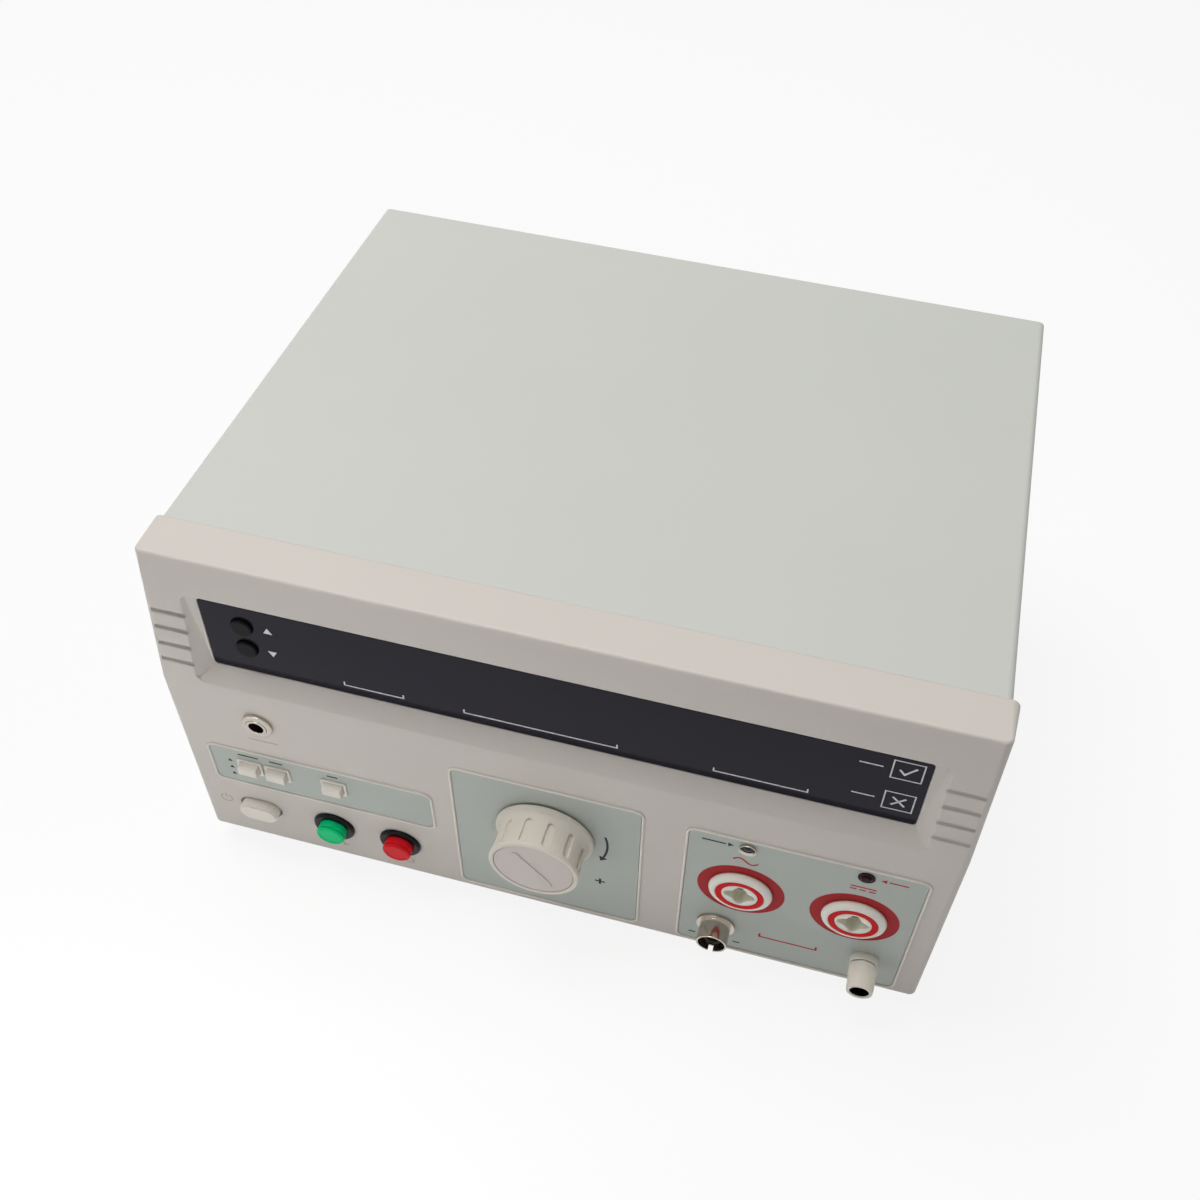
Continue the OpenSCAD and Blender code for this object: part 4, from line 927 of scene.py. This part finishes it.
@dataclass
class FrontPanel(Assembly):
    """Moulded bezel with its three printed plates and the window.

    Attributes:
        ridge_h: Height of the ridge round each plate above the face, in millimetres.
        crown_low: Height at which the ridge's crown starts.
        crown_wall: Height of the crown's upright sides.
        crown_in: How far its slopes run in from each side.
        crown_up: Height of those slopes.
        crown_over: How far it stands out from the ridge's sides.
        crown_sharp: Angle in degrees above which its edges stay sharp.
        marks: White marks on the window: pointers, brackets and two boxes with a tick and a cross.
    """

    soft: tuple[Softened, ...] = (
        Softened("front_bezel", BEZEL, 0.3, margin=4.0, calm=121.5),
        Softened("strip_plate", PLATE, 0.12),
        Softened("knob_plate", PLATE, 0.12),
        Softened("output_plate", PLATE, 0.12),
        Softened("display_window", WINDOW, 0.2),
    )
    ridge_h: float = 0.7
    crown_low: float = 0.3
    crown_wall: float = 0.15
    crown_in: float = 0.4
    crown_up: float = 0.4
    crown_over: float = 0.03
    crown_sharp: float = 60.0
    marks: tuple[Mark, ...] = (
        Mark("up_button", Kind.TRIANGLE, (10.4, 0.0), (2.1, 0.0)),
        Mark("down_button", Kind.TRIANGLE, (10.4, 0.0), (2.1, 180.0)),
        Mark("timer_digits", Kind.PATH, (0.0, -17.0376), (bracket(12.0, 2.0), 0.6)),
        Mark("current_digits", Kind.PATH, (0.0, -17.0376), (bracket(30.0, 2.0), 0.6)),
        Mark("voltage_digits", Kind.PATH, (0.0, -17.0376), (bracket(17.5, 2.0), 0.6)),
        Mark("status_lamps", Kind.BOX, (0.0, 9.35), ((5.4, 5.2), 0.5)),
        Mark("status_lamps", Kind.BAR, (-12.8, 9.35), (4.2, 0.6)),
        Mark("status_lamps", Kind.PATH, (0.0, 9.35), (((-2.8, 0.2), (-0.8, -2.2), (3.0, 2.6)), 0.8)),
        Mark("status_lamps", Kind.BOX, (0.0, -9.65), ((5.4, 5.2), 0.5)),
        Mark("status_lamps", Kind.BAR, (-12.8, -9.65), (4.2, 0.6)),
        Mark("status_lamps", Kind.PATH, (0.0, -9.65), (((-2.4, 2.4), (2.4, -2.4)), 0.8)),
        Mark("status_lamps", Kind.PATH, (0.0, -9.65), (((-2.4, -2.4), (2.4, 2.4)), 0.8)),
    )

    def build(self) -> None:
        """Builds the bezel, the plates and the window."""
        super().build()
        self._crowns()
        Print("window_marks", window_face(), INK_WHITE).put(self.marks)

    def _crowns(self) -> None:
        """Rounds the ridge round each plate with a crown in a paler copy of the bezel's plastic, which is a
        painted highlight.
        """
        face = front_face()
        shape = merged("front_bezel")
        off = {v: abs(face.local(v.co)[2] - self.ridge_h) > SLACK for v in shape.verts}
        others = [f for f in shape.faces if any(off[v] for v in f.verts)]
        bmesh.ops.delete(shape, geom=others, context="FACES")
        bmesh.ops.translate(shape, verts=shape.verts, vec=face.out * (self.crown_low - self.ridge_h) * MM)
        grown = bmesh.ops.extrude_face_region(shape, geom=shape.faces[:])["geom"]
        top = [g for g in grown if isinstance(g, bmesh.types.BMFace)]
        raised = [g for g in grown if isinstance(g, bmesh.types.BMVert)]
        bmesh.ops.translate(shape, verts=raised, vec=face.out * self.crown_wall * MM)
        bmesh.ops.recalc_face_normals(shape, faces=shape.faces)
        moves = {}
        for vert in shape.verts:
            walls = [f.normal for f in vert.link_faces if abs(f.normal.dot(face.out)) < WALL]
            moves[vert] = sum(walls, Vector()).normalized() * self.crown_over * MM
        for vert, move in moves.items():
            vert.co += move
        bmesh.ops.inset_region(
            shape, faces=top, thickness=self.crown_in * MM, depth=self.crown_up * MM, use_even_offset=True
        )
        mesh = smoothed(meshed(shape, "ridge_crowns"), self.crown_sharp)
        # The crowns' paler colour is a painted highlight, not a different surface.
        finished("ridge_crowns", mesh, HIGHLIT_RIDGE, "case")


@dataclass
class KeyStrip(Assembly):
    """Keys in their collars, power, start and stop buttons, the jack and the marks beside them.

    Attributes:
        rim_in: Distance of a round button's rim from the edge of its face, in millimetres.
        rim_w: Width of that rim.
        rim_h: Height of that rim.
        rim_foot: How far it reaches into the button, and how far its outer side leans in.
        rim_slope: How far its inner side leans out.
        strip_marks: Dark pointers and bars on the strip.
        bezel_marks: Pale marks on the bezel: a power symbol, a triangle, a square and a bar.
    """

    soft: tuple[Softened, ...] = (
        Softened("key_collars", KEY, 0.15),
        Softened("current_range_key", KEY, 0.3),
        Softened("output_type_key", KEY, 0.3),
        Softened("timer_key", KEY, 0.3),
        Softened("power_button", POWER, 0.45, steps=3),
        Softened("start_ring", BLACK_GLOSS, 0.25),
        Softened("stop_ring", BLACK_GLOSS, 0.25),
        Softened("start_button", GREEN, 0.3),
        Softened("stop_button", RED, 0.3),
        Softened("up_button", BLACK, 0.25),
        Softened("down_button", BLACK, 0.25),
        Softened("jack_nut", CHROME, 0.2),
        Softened("jack_sleeve", CHROME, 0.2),
    )
    rim_in: float = 0.35
    rim_w: float = 1.0
    rim_h: float = 0.25
    rim_foot: float = 0.1
    rim_slope: float = 0.2
    strip_marks: tuple[Mark, ...] = (
        Mark("current_range_key", Kind.TRIANGLE, (-9.2, 1.2), (1.25,)),
        Mark("current_range_key", Kind.TRIANGLE, (-9.2, -3.8), (1.25,)),
        Mark("current_range_key", Kind.TRIANGLE, (-9.2, -8.8), (1.25,)),
        Mark("current_range_key", Kind.BAR, (0.0, 7.4), (4.6, 0.8)),
        Mark("output_type_key", Kind.BAR, (0.0, 7.4), (3.0, 0.8)),
        Mark("timer_key", Kind.BAR, (0.0, 7.4), (2.4, 0.8)),
    )
    bezel_marks: tuple[Mark, ...] = (
        Mark("power_button", Kind.ARC, (-16.4, 1.0), (2.6, 120.0, 420.0, 0.7)),
        Mark("power_button", Kind.PATH, (-16.4, 0.0), (((0.0, 1.6), (0.0, 4.6)), 0.7)),
        Mark("start_ring", Kind.TRIANGLE, (3.0, -14.6), (2.0, -90.0)),
        Mark("stop_ring", Kind.BOX, (3.1, -14.7), ((1.5, 1.5), 0.7)),
        Mark("jack_nut", Kind.BAR, (0.0, -12.4), (6.5, 0.8)),
    )

    def build(self) -> None:
        """Builds the left of the control face."""
        super().build()
        self._rim("start_button", GREEN)
        self._rim("stop_button", RED)
        Print("strip_marks", front_face(), INK_DARK, lift=PLATE_LIFT).put(self.strip_marks)
        Print("bezel_marks", front_face(), INK_TAN).put(self.bezel_marks)

    def _rim(self, node: str, finish: Finish) -> None:
        """Raises the narrow rim round a round button's face.

        Args:
            node: The button.
            finish: Its finish.
        """
        face = front_face()
        x, y = face.centre(node)
        top = face.span(node)[1].z
        reach = max(math.hypot(a - x, b - y) for a, b, z in face.corners(node) if z > top - SLACK)
        edge = reach - self.rim_in
        inner, foot, crest = edge - self.rim_w, top - self.rim_foot, top + self.rim_h
        crown = [(edge - self.rim_foot, crest), (inner + self.rim_slope, crest)]
        profile = [(inner, foot), (edge, foot), *crown]
        turned(f"{node}_rim", face, (x, y), profile, finish, BODY_OF[node])


@dataclass
class Regulator(Assembly):
    """Slotted knob with its front disc, and the turning direction printed beside it.

    Attributes:
        pointer: Outline of the raised pointer on the disc in millimetres, along it and across it.
        pointer_turn: Degrees from level at which it stands.
        pointer_h: Its height.
        arrow_r: Radius of the printed arrow.
        arrow_span: Start and end of its line in degrees.
        arrow_steps: Number of its line's straight pieces.
        arrow_w: Width of its line.
        marks: The arrow's head and a plus sign.
    """

    soft: tuple[Softened, ...] = (
        Softened("regulator_knob", KNOB, 0.3, sharp=34.0),
        Softened("knob_cap", CAP, 0.35),
    )
    pointer: tuple[Point2, ...] = ((-12.5, 0.9), (-12.5, -0.9), (9.5, -0.9), (12.5, 0.0), (9.5, 0.9))
    pointer_turn: float = -52.0
    pointer_h: float = 0.4
    arrow_r: float = 26.0
    arrow_span: Point2 = (16.0, -20.0)
    arrow_steps: int = 10
    arrow_w: float = 1.0
    marks: tuple[Mark, ...] = (
        Mark("knob_cap", Kind.TRIANGLE, (23.932, -10.0925), (2.2, 158.0)),
        Mark("knob_cap", Kind.BAR, (23.2, -29.5), (2.2, 0.9)),
        Mark("knob_cap", Kind.BAR, (23.2, -30.825), (0.45, 1.75)),
        Mark("knob_cap", Kind.BAR, (23.2, -28.175), (0.45, 1.75)),
    )

    def build(self) -> None:
        """Builds the knob, its disc and the arrow."""
        super().build()
        self._arrow()
        self._pointer()

    def _arrow(self) -> None:
        """Prints the curved arrow and the plus sign on the plate."""
        first, last = self.arrow_span
        path = []
        for k in range(self.arrow_steps + 1):
            angle = math.radians(first + (last - first) * k / self.arrow_steps)
            path.append((self.arrow_r * math.cos(angle), self.arrow_r * math.sin(angle)))
        ink = Print("turn_marks", front_face(), INK_DARK, lift=PLATE_LIFT)
        ink.stroke(path, self.arrow_w)
        ink.put(self.marks)

    def _pointer(self) -> None:
        """Raises a plain pointer line on the knob's disc."""
        face = front_face()
        top = face.span("knob_cap")[1].z
        ridge = Print("knob_pointer", face, CAP, "regulator", top - 2 * SLACK, self.pointer_h)
        angle = math.radians(self.pointer_turn)
        way = Vector((math.cos(angle), math.sin(angle)))
        ridge.outlines.append([(way.x * a - way.y * b, way.y * a + way.x * b) for a, b in self.pointer])
        ridge.build()


@dataclass
class Outputs(Assembly):
    """High-voltage sockets, lamps, control connector and ground post on the output plate.

    Attributes:
        disc_r: Radius of the printed disc round each socket in millimetres.
        disc_hole: Radius of its hole under the socket's flange.
        shade_gap: Clearance round the black sleeve in the ground cap's mouth, which is painted shade for the
            dark hollow.
        shade_t: Thickness of that black sleeve.
        shade_in: How far that black sleeve stays inside the mouth.
        stud_shade_bore: Radius of the hole in the black ring on the stud's end, which is painted shade at the
            bottom of the hollow.
        stud_shade_in: How far that black ring stays inside the stud's edge.
        stud_shade_h: Its height.
        ribs: Number of grip ribs round the ground cap.
        rib_ends: Length of the cap that they leave free.
        rib_w: Width of a rib.
        rib_h: Thickness of a rib.
        red_marks: A wave, a direct-current sign, a bracket and the danger lamp's pointer.
        dark_marks: The safety lamp's pointer and two bars beside the connector.
    """

    soft: tuple[Softened, ...] = (
        Softened("ac_socket", WHITE, 0.25, sharp=38.0),
        Softened("dc_socket", WHITE, 0.25, sharp=38.0),
        Softened("socket_rings", RED_RING, 0.1),
        Softened("safety_lamp_holder", CHROME, 0.12),
        Softened("safety_lamp", CLEAR_LENS, 0.1),
        Softened("danger_lamp", RED_LENS, 0.12),
        Softened("control_connector", CHROME, 0.2),
        Softened("connector_insert", BLACK, 0.1),
        Softened("ground_base", POST, 0.25),
        Softened("ground_washer", SCREW, 0.1),
        Softened("ground_cap", POST, 0.3),
        Softened("ground_stud", BRASS, 0.15),
    )
    disc_r: float = 17.8
    disc_hole: float = 12.0
    shade_gap: float = 0.02
    shade_t: float = 0.28
    shade_in: float = 0.45
    stud_shade_bore: float = 2.05
    stud_shade_in: float = 0.1
    stud_shade_h: float = 0.25
    ribs: int = 26
    rib_ends: float = 3.0
    rib_w: float = 0.7
    rib_h: float = 0.2
    red_marks: tuple[Mark, ...] = (
        Mark("ac_socket", Kind.PATH, (0.0, 22.6), (wave(5.0, 1.7), 0.8)),
        Mark("dc_socket", Kind.BAR, (0.0, 24.2), (5.0, 0.8)),
        Mark("dc_socket", Kind.BAR, (-3.7, 22.2), (1.3, 0.8)),
        Mark("dc_socket", Kind.BAR, (0.0, 22.2), (1.3, 0.8)),
        Mark("dc_socket", Kind.BAR, (3.7, 22.2), (1.3, 0.8)),
        Mark("dc_socket", Kind.PATH, (-22.9, -32.5), (bracket(11.9, 2.5), 0.9)),
        Mark("danger_lamp", Kind.TRIANGLE, (7.0, 0.0), (1.5, 90.0)),
        Mark("danger_lamp", Kind.BAR, (12.3, 0.0), (3.7, 0.8)),
    )
    dark_marks: tuple[Mark, ...] = (
        Mark("safety_lamp", Kind.TRIANGLE, (-7.0, 0.0), (1.5, -90.0)),
        Mark("safety_lamp", Kind.BAR, (-13.3, 0.0), (4.7, 0.8)),
        Mark("control_connector", Kind.BAR, (-9.6, -12.2), (1.5, 0.8)),
        Mark("control_connector", Kind.BAR, (9.6, -12.2), (1.5, 0.8)),
    )

    def build(self) -> None:
        """Builds the right of the control face."""
        super().build()
        self._cap()
        self._discs()
        Print("output_marks", front_face(), INK_RED, lift=PLATE_LIFT).put(self.red_marks)
        Print("lamp_marks", front_face(), INK_DARK, lift=PLATE_LIFT).put(self.dark_marks)

    def _cap(self) -> None:
        """Paints shade into the ground cap's deep mouth with a black sleeve and a black ring on the stud's
        end, and puts grip ribs round the cap.
        """
        face = front_face()
        x, y = face.centre("ground_cap")
        low, high = face.span("ground_cap")
        rings = [(math.hypot(a - x, b - y), z) for a, b, z in face.corners("ground_cap")]
        mouth = min(r for r, z in rings if z > high.z - SLACK)
        deep = min(z for r, z in rings if abs(r - mouth) < 5 * SLACK)
        front, base = (max(r for r, z in rings if abs(z - end) < SLACK) for end in (high.z, low.z))
        # Black sleeve in the mouth: painted shade, because the deep hollow is dark.
        outer, foot, end = mouth - self.shade_gap, deep + self.shade_gap, high.z - self.shade_in
        inner = outer - self.shade_t
        tube = [(outer, foot), (outer, end), (inner, end), (inner, foot)]
        turned("mouth_painted_shade", face, (x, y), tube, BLACK_GLOSS, "ground_grip")
        # Black ring on the stud's end: painted shade at the bottom of the hollow.
        stud = face.span("ground_stud")
        bore, edge, end = self.stud_shade_bore, (stud[1].x - stud[0].x) / 2 - self.stud_shade_in, stud[1].z
        ring = [(bore, end), (edge, end), (edge, end + self.stud_shade_h), (bore, end + self.stud_shade_h)]
        turned("stud_painted_shade", face, (x, y), ring, BLACK, "case")
        mesh = self._ribs((front + base) / 2, high.z - low.z, base - front)
        mesh.transform(face.matrix(x, y, (low.z + high.z) / 2))
        finished("cap_ribs", mesh, POST, "ground_grip")

    def _ribs(self, radius: float, height: float, taper: float) -> bpy.types.Mesh:
        """Makes the grip ribs round the cap's axis with Geometry Nodes.

        Args:
            radius: The cap's mean radius in millimetres.
            height: The cap's height.
            taper: How much larger its base's radius is than its front's.

        Returns:
            The ribs' mesh.
        """
        tree = Tree("grip_ribs", {
            "Ribs": self.ribs, "Radius": radius * MM, "Length": (height - self.rib_ends) * MM,
            "Width": self.rib_w * MM, "Height": self.rib_h * MM, "Lean": math.atan(taper / height)})
        ring = tree.add("GeometryNodeMeshCircle", {"Vertices": "Ribs", "Radius": "Radius"})
        bar = tree.add("GeometryNodeMeshCube", {"Size": tree.vector("Height", "Width", "Length")})
        leant = tree.add("GeometryNodeTransform", {
            "Geometry": bar.outputs["Mesh"], "Rotation": tree.vector(0.0, tree.times("Lean", -1.0), 0.0)})
        place = tree.add("GeometryNodeInputPosition", {})
        turn = tree.add("FunctionNodeAlignRotationToVector", {"Vector": place.outputs[0]}, axis="X")
        grips = tree.add("GeometryNodeInstanceOnPoints", {
            "Points": ring.outputs["Mesh"], "Instance": leant.outputs[0], "Rotation": turn.outputs[0]})
        tree.finish(grips.outputs[0])
        return tree.run(bpy.data.meshes.new("rib_seed"), POST)

    def _discs(self) -> None:
        """Prints the dark red disc round each socket."""
        face = front_face()
        ink = Print("socket_discs", face, INK_DISC, lift=PLATE_LIFT)
        middle, width = (self.disc_r + self.disc_hole) / 2, self.disc_r - self.disc_hole
        for node in ("ac_socket", "dc_socket"):
            x, y = face.centre(node)
            ink.arc(x, y, middle, 0, 360, width)
        ink.build()


@dataclass
class RearFittings(Assembly):
    """Mains inlet and its fuse drawer."""

    soft: tuple[Softened, ...] = (
        Softened("mains_inlet", BLACK, 0.3),
        Softened("fuse_drawer", BLACK, 0.3),
    )


INNER = {
    BOARD: ("display_board", "key_board", "main_board"),
    DIGIT: ("timer_digits", "current_digits", "voltage_digits"),
    LAMP: ("status_lamps",),
    BLACK: ("setting_switches", "panel_switches", "panel_nuts", "jack_body"),
    COPPER: ("variac_coil", "transformer_coils"),
    CORE: ("transformer_core",),
    ALLOY: ("variac_base",),
    BRASS: ("brush_arm", "socket_contacts"),
    SCREW: ("regulator_shaft",),
    CAN: ("filter_capacitors", "hv_rectifier"),
}


def dress_inside() -> None:
    """Gives each CAD piece inside the case its finish."""
    for finish, nodes in INNER.items():
        for node in nodes:
            mesh = frame["nodes"][node].data
            mesh.materials.clear()
            mesh.materials.append(finish.material())
            LOG.info("%s keeps its solid, in %s", node, finish.name)


@dataclass(frozen=True)
class Lamp:
    """A soft square lamp: its place, side and aim in metres, its power in watts and its beam in degrees."""

    name: str
    place: Point3
    size: float
    power: float
    aim: Point3 = (0.0, 0.0, 0.1)
    spread: float = 180.0

    def build(self) -> None:
        """Adds the lamp, out of the camera's sight."""
        data = bpy.data.lights.new(self.name, "AREA")
        data.size = self.size
        data.energy = self.power
        data.spread = math.radians(self.spread)
        lamp = bpy.data.objects.new(self.name, data)
        lamp.location = self.place
        lamp.visible_camera = False
        lamp.rotation_euler = (Vector(self.aim) - Vector(self.place)).to_track_quat("-Z", "Y").to_euler()
        bpy.context.scene.collection.objects.link(lamp)


@dataclass
class Studio:
    """Camera, floor, world and soft lights, in metres and degrees. Lens and sensor are in millimetres.

    Attributes:
        camera_at: The camera's place.
        aim: The point at the middle of the picture.
        ambient: Strength of the even light from all round.
        floor_half: Half the floor's side.
        floor_tone: How pale the floor is.
        floor_gloss: How strongly the floor mirrors.
        floor_white: Share of plain white in the floor, for the camera and for reflections.
    """

    camera_at: Point3 = (0.09184, -0.44005, 0.55022)
    aim: Point3 = (-0.00838, -0.00917, 0.1)
    roll: float = 2.736
    lens: float = 42.41
    sensor: float = 36.0
    ambient: float = 0.22
    floor_half: float = 15.0
    floor_tone: float = 0.85
    floor_rough: float = 0.9
    floor_gloss: float = 0.1
    floor_white: float = 0.87
    lamps: tuple[Lamp, ...] = (
        Lamp("key", (-0.45, -0.02, 1.85), 1.0, 25.0),
        Lamp("fill", (-1.0, -1.0, 0.3), 0.8, 0.5),
        Lamp("bounce", (-0.2, -0.55, 0.5), 0.3, 1.05, (-0.15, -0.5, 0.0), 60.0),
    )

    def build(self) -> None:
        """Sets up the picture."""
        bpy.context.scene.view_settings.view_transform = "Standard"
        self._camera()
        self._world()
        self._floor()
        for lamp in self.lamps:
            lamp.build()

    def _camera(self) -> None:
        """Adds the camera at the photograph's place."""
        data = bpy.data.cameras.new("camera")
        data.sensor_width = self.sensor
        data.lens = self.lens
        camera = bpy.data.objects.new("camera", data)
        ahead = (Vector(self.aim) - Vector(self.camera_at)).normalized()
        level = ahead.cross(Vector((0.0, 0.0, 1.0))).normalized()
        upright = level.cross(ahead)
        c, s = math.cos(math.radians(self.roll)), math.sin(math.radians(self.roll))
        right, top = level * c + upright * s, upright * c - level * s
        turn = Matrix((right, top, -ahead)).transposed().to_4x4()
        camera.matrix_world = Matrix.Translation(Vector(self.camera_at)) @ turn
        bpy.context.scene.collection.objects.link(camera)
        bpy.context.scene.camera = camera

    @staticmethod
    def _seen(tree: bpy.types.NodeTree) -> bpy.types.NodeSocket:
        """Tells the rays that show the surroundings from those that light the part.

        Args:
            tree: The tree that asks.

        Returns:
            A socket that is 1 for rays from the camera, reflections and clear pieces.
        """
        path = add_node(tree, "ShaderNodeLightPath", {}).outputs
        seen = path["Is Camera Ray"]
        for kind in ("Is Glossy Ray", "Is Transmission Ray"):
            seen = add_node(tree, "ShaderNodeMath", {0: seen, 1: path[kind]}, operation="MAXIMUM").outputs[0]
        return seen

    def _world(self) -> None:
        """Makes an even pale world that the camera sees as white."""
        world = bpy.data.worlds.new("world")
        bpy.context.scene.world = world
        world.use_nodes = True
        tree = world.node_tree
        strength = add_node(tree, "ShaderNodeMapRange", {
            "Value": self._seen(tree), "To Min": self.ambient, "To Max": 1.0})
        wire(tree, tree.nodes["Background"], {
            "Color": (1.0, 1.0, 1.0, 1.0), "Strength": strength.outputs["Result"]})

    def _floor(self) -> None:
        """Lays a pale floor that keeps the shadow."""
        half = self.floor_half
        corners = [(-half, -half, 0), (half, -half, 0), (half, half, 0), (-half, half, 0)]
        mesh = bpy.data.meshes.new("floor")
        mesh.from_pydata(corners, [], [(0, 1, 2, 3)])
        floor = bpy.data.objects.new("floor", mesh)
        bpy.context.scene.collection.objects.link(floor)
        material = bpy.data.materials.new("pale_floor")
        material.use_nodes = True
        tree = material.node_tree
        shader = tree.nodes["Principled BSDF"]
        wire(tree, shader, {
            "Base Color": (*[self.floor_tone] * 3, 1.0), "Roughness": self.floor_rough,
            "Specular IOR Level": self.floor_gloss})
        white = add_node(tree, "ShaderNodeEmission", {})
        inputs = {0: self._seen(tree), 1: self.floor_white}
        share = add_node(tree, "ShaderNodeMath", inputs, operation="MULTIPLY")
        mix = add_node(tree, "ShaderNodeMixShader", {
            0: share.outputs[0], 1: shader.outputs[0], 2: white.outputs[0]})
        wire(tree, tree.nodes["Material Output"], {"Surface": mix.outputs[0]})
        mesh.materials.append(material)


def main() -> None:
    """Builds the studio, every sub-assembly and the finishes of the pieces inside."""
    logging.basicConfig(level=logging.INFO, format="%(message)s")
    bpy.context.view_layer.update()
    Studio().build()
    for assembly in (CaseShell(), FrontPanel(), KeyStrip(), Regulator(), Outputs(), RearFittings()):
        assembly.build()
    dress_inside()
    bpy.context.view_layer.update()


if __name__ == "__main__":
    main()
